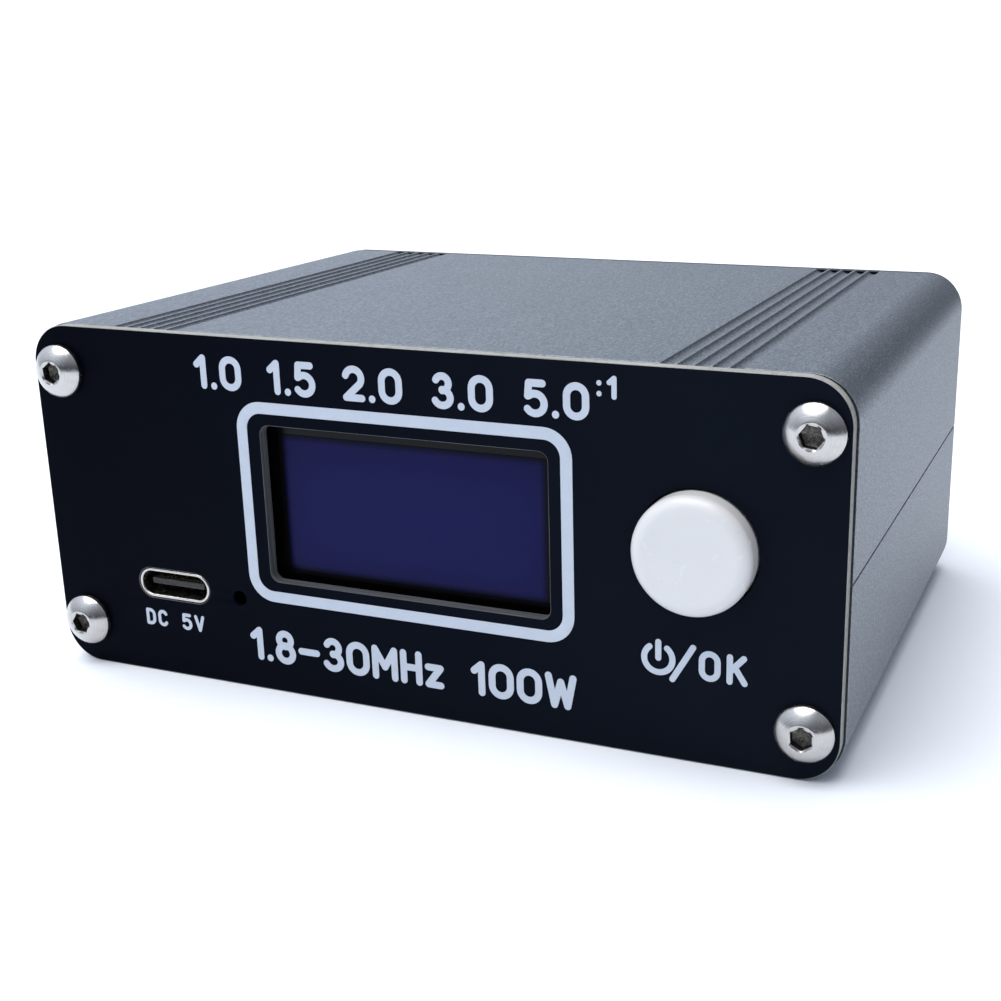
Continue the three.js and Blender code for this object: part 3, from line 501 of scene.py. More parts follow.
def stainless_steel():
    """Tumbled stainless steel with rings from the lathe and a few duller patches."""
    finish = Finish("stainless_steel", metallic=1.0)
    rings = finish.turning_marks(0.12)
    finish.colour(finish.between(rings, 0.35, 0.65), (0.50, 0.49, 0.475), (0.56, 0.55, 0.535))
    finish.tint(finish.patches(0.9, 4, 0.5, 0.75, 0.45), (0.42, 0.40, 0.37))
    finish.roughness(0.5, 3, 0.16, 0.28)
    finish.bump(rings, 0.0012)
    return finish.bump(finish.noise(0.16, 2), 0.003).material


def screw_recess():
    """The broached inside of a screw's hexagon: the same steel, dulled by oil and shadow."""
    finish = Finish("screw_recess", metallic=0.9)
    marks = finish.noise(0.14, 3, (1, 7, 1))
    finish.colour(finish.between(marks, 0.35, 0.7), (0.050, 0.047, 0.042), (0.16, 0.15, 0.135))
    finish.roughness(0.3, 3, 0.25, 0.5)
    return finish.bump(marks, 0.012).material


def cap_plastic():
    """White moulded button plastic with a soft sheen and hairline scratches."""
    finish = Finish("cap_plastic", Specular_IOR_Level=0.5, Subsurface_Weight=0.08)
    finish.shader.inputs["Subsurface Scale"].default_value = 0.4 * MM
    finish.colour(finish.noise(5, 3), (0.69, 0.69, 0.69), (0.735, 0.735, 0.735))
    scratches = finish.patches(0.35, 2, 0.72, 0.78, 0.2, stretch=(9, 1, 1.2))
    finish.tint(scratches, (0.5, 0.5, 0.51))
    finish.tint(finish.specks(4, 0.07), (0.32, 0.32, 0.33))
    finish.roughness(1.5, 3, 0.2, 0.28)
    return finish.bump(finish.noise(0.3, 2), 0.002).material


PICTURE_CENTRE = Vector((-0.28, 0, 20.49))
PICTURE_SIZE = Vector((29.42, 0, 14.7))
PICTURE_BORDER = 0.8
DOT_PITCH = 0.23


def display_blue():
    """The picture area of an unpowered display: deep blue glass over a fine grid of dots."""
    finish = Finish("display_blue", Specular_IOR_Level=0.06)
    upright = {"Vector": finish.place(), "Rotation": (math.pi / 2, 0, 0)}
    dots = {
        "Vector": finish.node("ShaderNodeMapping", upright).outputs[0],
        "Scale": 1 / (DOT_PITCH * MM),
        "Mortar Size": 0.04,
        "Row Height": 1.0,
        "Brick Width": 1.0,
        "Color1": (1, 1, 1, 1),
        "Color2": (1, 1, 1, 1),
        "Mortar": (0, 0, 0, 1),
    }
    grid = finish.node("ShaderNodeTexBrick", dots, offset=0.0).outputs["Color"]
    finish.colour(finish.noise(14, 2), (0.0082, 0.0092, 0.0680), (0.0102, 0.0115, 0.0770))
    finish.tint(finish.between(grid, 0.0, 1.0, 0.25, 0.0), (0.005, 0.005, 0.038))
    inside = finish.within(PICTURE_CENTRE, PICTURE_SIZE, PICTURE_BORDER)
    finish.tint(finish.between(inside, 1, 0), (0.001, 0.001, 0.003))
    finish.roughness(3, 3, 0.16, 0.26)
    return finish.bump(finish.noise(0.25, 2), 0.0008).material


def display_border():
    return moulded("display_border", (0.0010, 0.0010, 0.0014), (0.0018, 0.0018, 0.0024),
                   grain=0.3, depth=0.0006, roughness=(0.12, 0.22), Specular_IOR_Level=0.15)


def black_plastic():
    return moulded("black_plastic", (0.016, 0.016, 0.017), (0.026, 0.026, 0.028),
                   grain=0.12, roughness=(0.42, 0.6), worn=(0.09, 0.09, 0.09))


def nickel_plate():
    """Bright nickel plating with faint turning lines and tarnish."""
    finish = Finish("nickel_plate", metallic=1.0)
    finish.colour(finish.patches(3.5, 4, 0.35, 0.7), (0.66, 0.64, 0.60), (0.53, 0.50, 0.455))
    finish.wear(0.08, 0.5, 0.45, 0.6, (0.78, 0.77, 0.74))
    finish.roughness(0.9, 4, 0.16, 0.32)
    finish.bump(finish.noise(0.18, 2, (1, 8, 1)), 0.0012)
    return finish.bump(finish.noise(1.1, 3), 0.002).material


def cast_flange():
    """The dull sides of a plated casting, a little pitted."""
    finish = Finish("cast_flange", metallic=0.35, Specular_IOR_Level=0.5)
    finish.colour(finish.patches(1.2, 4, 0.35, 0.65), (0.36, 0.35, 0.33), (0.46, 0.45, 0.43))
    finish.roughness(0.6, 3, 0.42, 0.58)
    return finish.bump(finish.noise(0.25, 3), 0.008).material


def gold_plate():
    """Thin gold flash over brass, a little scratched."""
    finish = Finish("gold_plate", metallic=1.0)
    finish.colour(finish.patches(1.4, 4, 0.35, 0.7), (0.80, 0.55, 0.22), (0.62, 0.40, 0.15))
    finish.roughness(0.4, 3, 0.18, 0.34)
    return finish.bump(finish.noise(0.2, 2, (1, 6, 1)), 0.002).material


def insulator_plastic():
    return moulded("insulator_plastic", (0.74, 0.72, 0.66), (0.80, 0.79, 0.74),
                   grain=0.3, depth=0.004, roughness=(0.45, 0.6), Subsurface_Weight=0.05)


def connector_white():
    return moulded("connector_white", (0.70, 0.68, 0.60), (0.76, 0.74, 0.67), worn=(0.85, 0.84, 0.8))


def lamp_body():
    # Painted shade: the lamp body is made nearly black so that the pinhole in front of it reads dark.
    return moulded("lamp_body", (0.006, 0.007, 0.012), (0.010, 0.012, 0.020),
                   roughness=(0.15, 0.25))


def board_green():
    """Green solder mask, with darker tracks that run along and across under it."""
    finish = Finish("board_green", Specular_IOR_Level=0.5)
    lanes = finish.patches(0.9, 1, 0.52, 0.55, stretch=(14, 1, 14))
    rows = finish.patches(0.9, 1, 0.56, 0.59, stretch=(1, 14, 1))
    finish.colour(finish.noise(8, 3), (0.012, 0.070, 0.040), (0.018, 0.090, 0.052))
    finish.tint(lanes, (0.022, 0.125, 0.070))
    finish.tint(rows, (0.020, 0.115, 0.064))
    finish.roughness(2, 3, 0.28, 0.4)
    finish.bump(lanes, 0.02)
    return finish.bump(finish.noise(0.3, 2), 0.003).material


def foam():
    return moulded("foam", (0.020, 0.021, 0.024), (0.045, 0.046, 0.050),
                   grain=0.35, depth=0.12, roughness=(0.85, 0.98))


def amber_ribbon():
    """Amber film with copper tracks running along it."""
    finish = Finish("amber_ribbon", Specular_IOR_Level=0.5)
    tracks = finish.patches(0.35, 0, 0.47, 0.53, stretch=(1, 80, 80))
    finish.colour(tracks, (0.42, 0.17, 0.035), (0.62, 0.30, 0.10))
    finish.tint(finish.patches(3, 3, 0.4, 0.7, 0.4), (0.3, 0.11, 0.02))
    finish.roughness(1, 3, 0.25, 0.4)
    return finish.bump(tracks, 0.02).material


def ferrite():
    return moulded("ferrite", (0.045, 0.045, 0.050), (0.075, 0.074, 0.078),
                   grain=0.14, depth=0.02, roughness=(0.7, 0.9), worn=(0.16, 0.16, 0.165))


def copper_enamel():
    """Copper wire under clear orange enamel."""
    finish = Finish("copper_enamel", metallic=0.9, Coat_Weight=0.6, Coat_Roughness=0.15)
    finish.colour(finish.patches(2.5, 4, 0.3, 0.7), (0.55, 0.19, 0.06), (0.38, 0.11, 0.035))
    finish.roughness(0.8, 3, 0.22, 0.4)
    return finish.bump(finish.noise(0.3, 2), 0.006).material


def battery_film():
    """Silver laminate with soft wrinkles, darker in their hollows as painted shade."""
    finish = Finish("battery_film", metallic=0.7)
    creases = finish.noise(4.5, 5, (2.2, 1, 1), 0.6)
    # Painted shade: the colour follows the wrinkles' height, darker in their hollows.
    finish.colour(finish.between(creases, 0.35, 0.65), (0.46, 0.48, 0.50), (0.60, 0.62, 0.64))
    finish.roughness(1.5, 4, 0.28, 0.46)
    finish.bump(creases, 0.25)
    return finish.bump(finish.noise(0.25, 2), 0.004).material


def wire_skin(name, colour, shade):
    return moulded(name, colour, shade, grain=0.2, roughness=(0.38, 0.52))


def floor_finish():
    """Plain pale board."""
    finish = Finish("floor_finish", Specular_IOR_Level=0.2)
    finish.colour(finish.noise(40, 3), (0.88, 0.91, 0.965), (0.90, 0.93, 0.98))
    finish.roughness(10, 2, 0.7, 0.8)
    return finish.bump(finish.noise(1.5, 2), 0.004).material


MASK = solder_mask()
SHADED_HOLE_WALL = shaded_hole_wall()
INK = printed_ink()
STEEL = stainless_steel()
RECESS = screw_recess()
BLACK = black_plastic()
NICKEL = nickel_plate()
CASTING = cast_flange()
GOLD = gold_plate()
INSULATOR = insulator_plastic()
GREEN = board_green()


# ---------------- case

SEAM_RISE = 0.3
SEAM_OVERLAP = 1.2
SEAM_GAP = 0.15
WALL = 1.8


def flutes(centre):
    """Five rounded grooves in the top wall, from right to left, about the case's centre."""
    count, pitch, width, depth, lip = 5, 1.62, 1.3, 0.42, 0.1
    outline = []
    for i in range(count):
        x = centre + ((count - 1) / 2 - i) * pitch
        floor = arc(x, MID_HEIGHT, width / 2, 360, 180, 12, squash=2 * depth / width)
        outline.append((*floor[0], lip))
        outline += [(*point, 0) for point in floor[1:-1]]
        outline.append((*floor[-1], lip))
    return outline


def inner_wall(side, seam_end):
    """One side wall's inner face, from the seam end up to the top wall: a rail, then the boss."""
    boss_radius, boss_end = 2.15, -210
    rail_reach, rail_thickness, rail_slot, rail_edge = 1.5, 0.8, 1.7, 0.15
    inner = HALF_WIDTH - WALL
    boss_top = SCREW_RISE - boss_radius
    rail_high = boss_top - rail_slot
    rail_low = rail_high - rail_thickness
    start = -math.degrees(math.acos((inner - SCREW_X) / boss_radius))
    boss = arc(SCREW_X, SCREW_RISE, boss_radius, start, boss_end, 16)
    outline = [
        (inner, seam_end, 0.1),
        (inner, rail_low, 0),
        (inner - rail_reach, rail_low, rail_edge),
        (inner - rail_reach, rail_high, rail_edge),
        (inner, rail_high, 0),
        *[(*point, 0) for point in boss],
        (boss[-1][0], MID_HEIGHT - WALL, 0),
    ]
    return [(side * x, z, radius) for x, z, radius in outline]


def half_shell():
    """The upper half of the case, about the case's centre."""
    band_centre, corner_edge, seam_edge, bore_radius = 29.9, 0.12, 0.05, 1.55
    lip_x = HALF_WIDTH - WALL / 2
    lip_root = SEAM_RISE + SEAM_OVERLAP
    tongue_end, tongue_root = SEAM_GAP - lip_root, SEAM_GAP - SEAM_RISE
    clearance = SEAM_GAP / 2
    outline = filleted([
        (lip_x + clearance, lip_root, seam_edge),
        (lip_x + clearance, SEAM_RISE, seam_edge),
        (HALF_WIDTH, SEAM_RISE, corner_edge),
        (HALF_WIDTH, MID_HEIGHT, CORNER_RADIUS),
        *flutes(band_centre),
        *flutes(-band_centre),
        (-HALF_WIDTH, MID_HEIGHT, CORNER_RADIUS),
        (-HALF_WIDTH, tongue_root, corner_edge),
        (-lip_x + clearance, tongue_root, seam_edge),
        (-lip_x + clearance, tongue_end, seam_edge),
        *inner_wall(-1, tongue_end),
        *inner_wall(1, lip_root)[::-1],
    ], degrees_per_step=7.5)
    bores = [circle(x, SCREW_RISE, bore_radius, 24) for x in (-SCREW_X, SCREW_X)]
    return Shape().slab(outline, bores, SHELL_FRONT, SHELL_BACK, edge=0.05, face_paint=1)


def add_shells():
    """Two lengths of one extrusion. The lower one is turned half a turn about the Y axis."""
    shells = [
        ("upper_shell", "top_shell", Matrix.Identity(3)),
        ("lower_shell", "bottom_shell", Matrix.Rotation(math.pi, 3, "Y")),
    ]
    finishes = [anodised_aluminium(), shaded_cut_end()]
    for name, node, turn in shells:
        shape = half_shell().moved(z=MID_HEIGHT, turn=turn)
        add_piece(name, shape, finishes, replaced=[node], sharp=50)


def corner_holes():
    """The holes of a panel's four case screws."""
    return [
        circle(x, MID_HEIGHT + rise, SCREW_HOLE_RADIUS, 24)
        for x in (-SCREW_X, SCREW_X) for rise in (-SCREW_RISE, SCREW_RISE)
    ]


def panel_outline():
    return rounded_rectangle(0, MID_HEIGHT, PANEL_SIZE.x, PANEL_SIZE.z, CORNER_RADIUS, 16)


SOCKET_LOW, SOCKET_HIGH = cad("socket_shell")
SOCKET = (SOCKET_LOW + SOCKET_HIGH) / 2
SOCKET_WIDTH = SOCKET_HIGH.x - SOCKET_LOW.x
SOCKET_HEIGHT = SOCKET_HIGH.z - SOCKET_LOW.z
SOCKET_CLEARANCE = 0.08

PANEL_EDGE = 0.07
BUTTON_HOLE_RADIUS = 5.95
PINHOLE = (-20.15, 10.0, 0.8)  # x, z and radius


def add_panel(name, node, holes, hole_paints, front, back, rim):
    """A board whose paints are 0 for its mask, 1 for its rim and 2 for the cut wall of a hole, painted
    darker as shade.
    """
    shape = Shape().slab(panel_outline(), holes, front, back, edge=PANEL_EDGE, side_paint=1,
                         hole_paints=hole_paints)
    add_piece(name, shape, [MASK, rim, SHADED_HOLE_WALL], replaced=[node])


def add_front_panel():
    """The walls of the button hole and the pinhole take the black mask, painted shade for their dark
    gaps. The other holes are cut.
    """
    slot = [side + 2 * SOCKET_CLEARANCE for side in (SOCKET_WIDTH, SOCKET_HEIGHT)]
    cut_holes = corner_holes() + [rounded_rectangle(*WINDOW), stadium(SOCKET.x, SOCKET.z, *slot)]
    shade_dark_holes = [
        circle(CAP_CENTRE.x, CAP_CENTRE.z, BUTTON_HOLE_RADIUS, 72),
        circle(*PINHOLE, 24),
    ]
    # Painted shade: the walls of the button hole and the pinhole take the black mask.
    paints = [2] * len(cut_holes) + [0] * len(shade_dark_holes)
    add_panel("front_plate", "front_panel", cut_holes + shade_dark_holes, paints,
              FRONT_FACE, SHELL_FRONT, fibreglass())


def flange_holes(centre_x, centre_z):
    """Where the four flange screws of a radio socket stand, as (x, z)."""
    offsets = [(-1, -1), (1, -1), (-1, 1), (1, 1)]
    return [(centre_x + sx * RF_HOLE_OFFSET, centre_z + sz * RF_HOLE_OFFSET) for sx, sz in offsets]


def add_rear_panel():
    holes = corner_holes()
    for side in RF_SIDES:
        centre = middle(f"rf_{side}_body")
        holes.append(circle(centre.x, centre.z, RF_SPIGOT_HOLE_RADIUS, 48))
        holes += [circle(x, z, SCREW_HOLE_RADIUS, 24) for x, z in flange_holes(centre.x, centre.z)]
    # The rear board's rim is painted dark as shade.
    add_panel("rear_plate", "rear_panel", holes, [2] * len(holes),
              SHELL_BACK, BACK_FACE, painted_shade_fibreglass())


# ---------------- screws

HEAD_RADIUS = 2.85
HEAD_HEIGHT = 1.65
SCREW_LENGTH = 8.0
RING_STEPS = 48


def hex_ring(across_flats, y, turn):
    """A hexagon with as many points as a round ring, so that the two can be joined."""
    ring = []
    for i in range(RING_STEPS):
        angle = 2 * math.pi * i / RING_STEPS
        from_flat = (angle + math.pi / 6) % (math.pi / 3) - math.pi / 6
        radius = across_flats / 2 / math.cos(from_flat)
        ring.append((radius * math.cos(angle + turn), y, radius * math.sin(angle + turn)))
    return ring


def button_screw(degrees):
    """A button head screw with its seat at y = 0, its head in front and its thread behind."""
    turn = math.radians(degrees)
    thread_outer, thread_inner, pitch, thread_start = 1.45, 1.22, 0.5, 0.3
    flat_radius, dome_radius, dome_edge, dome_steps = 1.36, 3.6, HEAD_RADIUS - 0.05, 12
    mouth, mouth_depth, across, depth, bevel = 1.24, 0.12, 2.0, 1.04, 0.08
    front = -HEAD_HEIGHT

    def dome_level(radius):
        """How far forward the dome reaches at a radius. It ends in a small flat at the front."""
        flat_rise, rise = [math.sqrt(dome_radius ** 2 - r ** 2) for r in (flat_radius, radius)]
        return front + flat_rise - rise

    profile = [(0, SCREW_LENGTH), (thread_inner, SCREW_LENGTH)]
    for i in range(int((SCREW_LENGTH - 2 * thread_start) / pitch), 0, -1):
        profile.append((thread_outer, thread_start + i * pitch))
        profile.append((thread_inner, thread_start + (i - 0.5) * pitch))
    profile += [
        (thread_outer, thread_start),
        (thread_outer, 0),
        (HEAD_RADIUS - bevel, 0),
        (HEAD_RADIUS, -bevel),
        (HEAD_RADIUS, dome_level(HEAD_RADIUS) + 0.06),
    ]
    for step in range(dome_steps + 1):
        radius = dome_edge + (flat_radius - dome_edge) * step / dome_steps
        profile.append((radius, dome_level(radius)))
    profile.append((mouth, front))
    head = round_rings(profile, RING_STEPS, turn) + [hex_ring(across, front + mouth_depth, turn)]
    recess = [
        hex_ring(across, front + mouth_depth, turn),
        hex_ring(across, front + depth - 0.05, turn),
        hex_ring(across - 0.12, front + depth, turn),
        [(0, front + depth + 0.3, 0)],
    ]
    return Shape().loft(head).loft(recess, paint=1)


def add_screw(name, seat, degrees, faces_back=False):
    """A screw whose head rests on the seat and looks forward or back."""
    shape = button_screw(degrees)
    if faces_back:
        shape.moved(turn=ABOUT_FACE)
    shape.moved(*seat)
    add_piece(f"{name}_steel", shape, [STEEL, RECESS],
              replaced=[name], origin=seat, sharp=28)


def add_case_screws():
    """Each screw stopped at its own angle when it was tightened."""
    front_turns = {"top_left": 8, "top_right": 22, "bottom_left": 27, "bottom_right": 3}
    rear_lead = 13
    for corner, degrees in front_turns.items():
        at = middle(f"front_screw_{corner}")
        add_screw(f"front_screw_{corner}", (at.x, FRONT_FACE, at.z), degrees)
        seat = (at.x, BACK_FACE, at.z)
        add_screw(f"rear_screw_{corner}", seat, degrees + rear_lead, faces_back=True)


# ---------------- display

def add_display():
    """A sheet of glass with a shorter lid bonded behind it, and the picture area on its face."""
    low, high = cad("display_glass")
    lid_top, glass_thickness, film = 29.9, 0.7, 0.02
    glass_back = low.y + glass_thickness
    shape = Shape()
    shape.block(low, (high.x, glass_back, high.z), 0.08)
    shape.block((low.x, glass_back, low.z), (high.x, high.y, lid_top), 0.06)
    add_piece("display_stack", shape, [display_border()], replaced=["display_glass"])
    corner, opposite = PICTURE_CENTRE - PICTURE_SIZE / 2, PICTURE_CENTRE + PICTURE_SIZE / 2
    picture = Shape().block(
        (corner.x, low.y - film, corner.z),
        (opposite.x, low.y, opposite.z),
        0.008,
    )
    add_piece("display_picture", picture, [display_blue()])


# ---------------- push button

def add_button():
    """A round cap with a slightly dished face and a stem inside that grips the plunger."""
    low, high = cad("button_cap")
    front, back = low.y, high.y
    radius = (high.x - low.x) / 2
    fillet, wall, crown, dish, chamfer = 1.25, 1.0, 1.7, 0.06, 0.15
    stem, grip, grip_depth, stem_setback = 2.7, 1.83, 2.1, 0.5
    face = [(radius * share, front + dish * (1 - share ** 2)) for share in (0, 0.25, 0.5, 0.7)]
    rim = [
        (radius - fillet + fillet * math.sin(a), front + fillet * (1 - math.cos(a)))
        for a in [math.radians(9 * i) for i in range(11)]
    ]
    profile = [
        *face,
        *rim,
        (radius, back - chamfer),
        (radius - chamfer, back),
        (radius - wall, back),
        (radius - wall, front + crown),
        (stem, front + crown),
        (stem, back - stem_setback),
        (grip, back - stem_setback),
        (grip, front + grip_depth),
        (0, front + grip_depth),
    ]
    shape = Shape().turned(profile, 96).moved(CAP_CENTRE.x, 0, CAP_CENTRE.z)
    seat = (CAP_CENTRE.x, front, CAP_CENTRE.z)
    add_piece("button_top", shape, [cap_plastic()], "button", ["button_cap"], seat)


# ---------------- power socket

TONGUE_TIP = FRONT_FACE + 0.7
HALF_TONGUE = 0.35


def add_power_socket():
    """The hollow metal shell of a USB-C socket, with the contact tongue inside it."""
    wall = 0.31
    outer = stadium(SOCKET.x, SOCKET.z, SOCKET_WIDTH, SOCKET_HEIGHT, 14)
    inner = stadium(SOCKET.x, SOCKET.z, SOCKET_WIDTH - 2 * wall, SOCKET_HEIGHT - 2 * wall, 14)
    shell = Shape().slab(outer, [inner], FRONT_FACE, SOCKET_HIGH.y, edge=0.12, steps=3)
    add_piece("socket_sleeve", shell, [NICKEL], replaced=["socket_shell"])
    add_socket_tongue()
    add_socket_contacts()


def add_socket_tongue():
    low, high = cad("socket_tongue")
    half_width, plug_length, root = 3.35, 1.4, 0.5
    plug_front = high.y - plug_length
    shape = Shape().block(
        (SOCKET.x - half_width, TONGUE_TIP, SOCKET.z - HALF_TONGUE),
        (SOCKET.x + half_width, plug_front + root, SOCKET.z + HALF_TONGUE),
        0.1,
    )
    plug = stadium(SOCKET.x, SOCKET.z, high.x - low.x, high.z - low.z)
    shape.slab(plug, [], plug_front, high.y)
    add_piece("socket_core", shape, [BLACK], replaced=["socket_tongue"])


def add_socket_contacts():
    """A row of gold pads on each face of the tongue, sunk in it and a little proud of it."""
    pads, pitch, half_pad, sunk, proud = 12, 0.5, 0.13, 0.05, 0.02
    start, end = TONGUE_TIP + 0.5, TONGUE_TIP + 4
    shape = Shape()
    for face in (-1, 1):
        levels = sorted(SOCKET.z + face * (HALF_TONGUE + rise) for rise in (-sunk, proud))
        for i in range(pads):
            x = SOCKET.x + (i - (pads - 1) / 2) * pitch
            shape.block((x - half_pad, start, levels[0]), (x + half_pad, end, levels[1]), 0.008)
    add_piece("socket_contacts", shape, [GOLD])


# ---------------- printing on the front panel

INK_PROUD = 0.02


def oval(width):
    """The pen's path round an upright oval, one unit high."""
    r = width / 2
    return arc(r, 1 - r, r, 0, 180, 12) + arc(r, r, r, 180, 360, 12) + [(width, 1 - r)]


# Characters drawn with a pen, in units of their height: each has a width and its pen strokes.
GLYPHS = {
    "0": (0.66, [oval(0.66)]),
    "1": (0.30, [[(0.0, 0.76), (0.27, 1.0), (0.27, 0.0)]]),
    "2": (0.62, [arc(0.31, 0.69, 0.31, 165, -40, 14) + [(0.0, 0.0), (0.62, 0.0)]]),
    "3": (0.60, [arc(0.30, 0.755, 0.245, 155, -90, 14) + arc(0.30, 0.265, 0.30, 90, -155, 16, 0.9)]),
    "5": (0.62, [[(0.56, 1.0), (0.08, 1.0), (0.04, 0.56)] + arc(0.29, 0.32, 0.33, 130, -145, 16)]),
    "8": (0.60, [arc(0.30, 0.76, 0.24, 0, 360, 20), arc(0.30, 0.27, 0.29, 0, 360, 24)]),
    ".": (0.0, [[(0.0, 0.0), (0.0, 0.01)]]),
    ":": (0.0, [[(0.0, 0.12), (0.0, 0.13)], [(0.0, 0.70), (0.0, 0.71)]]),
    "-": (0.62, [[(0.0, 0.45), (0.62, 0.45)]]),
    "M": (0.74, [[(0.0, 0.0), (0.0, 1.0), (0.37, 0.36), (0.74, 1.0), (0.74, 0.0)]]),
    "H": (0.58, [[(0.0, 0.0), (0.0, 1.0)], [(0.58, 0.0), (0.58, 1.0)], [(0.0, 0.5), (0.58, 0.5)]]),
    "z": (0.46, [[(0.0, 0.62), (0.46, 0.62), (0.0, 0.0), (0.46, 0.0)]]),
    "W": (0.86, [[(0.0, 1.0), (0.2, 0.0), (0.43, 0.82), (0.66, 0.0), (0.86, 1.0)]]),
    "D": (0.56, [[(0.0, 0.0), (0.0, 1.0), (0.22, 1.0)] + arc(0.22, 0.66, 0.34, 90, 0, 8)
                 + arc(0.22, 0.34, 0.34, 0, -90, 8) + [(0.0, 0.0)]]),
    "C": (0.56, [arc(0.29, 0.71, 0.29, 25, 180, 12) + arc(0.29, 0.29, 0.29, 180, 335, 12)]),
    "V": (0.6, [[(0.0, 1.0), (0.3, 0.0), (0.6, 1.0)]]),
    "O": (0.62, [oval(0.62)]),
    "K": (0.56, [[(0.0, 0.0), (0.0, 1.0)], [(0.54, 1.0), (0.0, 0.4)], [(0.2, 0.6), (0.58, 0.0)]]),
    "/": (0.5, [[(0.0, -0.1), (0.5, 1.1)]]),
    " ": (0.55, []),
}


def pen_strokes(text, left, right, bottom, top, stroke):
    """The strokes of a line of text whose ink just fills a box."""
    height = top - bottom - stroke
    widths = [GLYPHS[letter][0] * height for letter in text]
    gap = (right - left - stroke - sum(widths)) / (len(text) - 1)
    strokes, x = [], left + stroke / 2
    for letter, width in zip(text, widths):
        for path in GLYPHS[letter][1]:
            strokes.append([(x + u * height, bottom + stroke / 2 + v * height) for u, v in path])
        x += width + gap
    return strokes


def capsule(start, end, radius):
    """The outline of one straight pen stroke with round ends."""
    angle = math.degrees(math.atan2(end[1] - start[1], end[0] - start[0]))
    far = arc(end[0], end[1], radius, angle - 90, angle + 90, 8)
    near = arc(start[0], start[1], radius, angle + 90, angle + 270, 8)
    return far + near


def ink_shape(outlines):
    """A thin layer of ink over the union of overlapping outlines."""
    points, loops = [], []
    for outline in outlines:
        loops.append(list(range(len(points), len(points) + len(outline))))
        points += [Vector(point) for point in outline]
    found = delaunay_2d_cdt(points, [], loops, 0, 1e-5)
    corners, triangles, inside_of = found[0], found[2], found[5]
    kept = [triangle for triangle, sources in zip(triangles, inside_of) if sources]
    count = len(corners)
    layers = [
        (corner.x, FRONT_FACE + rise, corner.y)
        for rise in (-INK_PROUD, INK_PROUD) for corner in corners
    ]
    sides = dict.fromkeys(pair for triple in kept for pair in zip(triple, triple[1:] + triple[:1]))
    rims = [(a, b) for a, b in sides if (b, a) not in sides]
    faces = [tuple(triangle) for triangle in kept]
    faces += [tuple(count + i for i in reversed(triangle)) for triangle in kept]
    faces += [(b, a, count + a, count + b) for a, b in rims]
    return Shape().add(layers, faces)


def add_lettering(name, strokes, width):
    """Ink along pen strokes of one width."""
    outlines = []
    for path in strokes:
        outlines += [capsule(a, b, width / 2) for a, b in zip(path, path[1:])]
    add_piece(name, ink_shape(outlines), [INK])


def add_window_frame():
    """A printed line round the display window."""
    left, right, bottom, top, stroke, radius = -18.72, 17.93, 10.15, 31.51, 1.2, 2.9
    x, z, width, height = (left + right) / 2, (bottom + top) / 2, right - left, top - bottom
    outer = rounded_rectangle(x, z, width, height, radius, 10)
    inner = rounded_rectangle(x, z, width - 2 * stroke, height - 2 * stroke, radius - stroke, 10)
    shape = Shape().slab(outer, [inner], FRONT_FACE - INK_PROUD, FRONT_FACE + INK_PROUD, edge=0.01)
    add_piece("print_window_frame", shape, [INK])


def power_symbol(x, z, radius):
    """A ring open at the top with a bar through the gap."""
    half_gap, bar_top = 38, 1.18
    ring = arc(x, z, radius, 90 + half_gap, 450 - half_gap, 24)
    return [ring, [(x, z + 0.05), (x, z + radius * bar_top)]]


# Each line of text: its name, its characters, its left, right, bottom and top, and its stroke.
PRINTED_LINES = [
    ("print_scale", "1.0 1.5 2.0 3.0 5.0", -23.35, 19.7, 32.4, 35.95, 0.72),
    ("print_ratio", ":1", 20.4, 22.4, 34.6, 36.8, 0.5),
    ("print_rating", "1.8-30MHz 100W", -19.24, 18.06, 3.3, 7.06, 0.75),
    ("print_supply", "DC 5V", -32.6, -25.0, 5.4, 7.3, 0.38),
]


def add_printing():
    add_window_frame()
    for name, *line in PRINTED_LINES:
        add_lettering(name, pen_strokes(*line), line[-1])
    stroke = 0.6
    label = power_symbol(26.35, 10.15, 1.4)
    label.append([(27.75, 8.25), (29.75, 11.7)])
    label += pen_strokes("OK", 30.3, 34.95, 8.55, 11.6, stroke)
    add_lettering("print_button", label, stroke)


# ---------------- radio sockets

RF_SCREW_TURNS = {"left": (5, 31, 17, 44), "right": (38, 12, 52, 24)}
FLANGE_FACE = BACK_FACE + 2.5
SEAT_FLOOR = FLANGE_FACE + 3.9


def add_radio_socket(side):
    """A UHF socket: a body, an insulator, a centre contact and four flange screws."""
    low, high = cad(f"rf_{side}_body")
    centre = middle(f"rf_{side}_body")
    at = (centre.x, 0, centre.z)
    add_radio_body(side, at, low.y, high.y)
    add_radio_insulator(side, at)
    add_radio_contact(side, at, high.y - 1.5)
    places = flange_holes(centre.x, centre.z)
    for i, ((x, z), degrees) in enumerate(zip(places, RF_SCREW_TURNS[side]), start=1):
        add_screw(f"rf_{side}_screw_{i}", (x, FLANGE_FACE, z), degrees, faces_back=True)


def slotted_tube(steps, first, half_angle, ramp, depth):
    """The angles round a tube with four slots in its rim, and a function that draws its rings."""
    edges = [
        first + 90 * quarter + side * (half_angle + e)
        for quarter in range(4) for side in (-1, 1) for e in (0, ramp)
    ]
    angles = sorted(angle % 360 for angle in [360 * i / steps for i in range(steps)] + edges)

    def ring(radius, y, rim=False):
        points = []
        for degrees in angles:
            from_slot = abs((degrees - first + 45) % 90 - 45)
            lowered = y - depth if rim and from_slot < half_angle + ramp / 2 else y
            a = math.radians(degrees)
            points.append((radius * math.cos(a), lowered, radius * math.sin(a)))
        return points

    return angles, ring


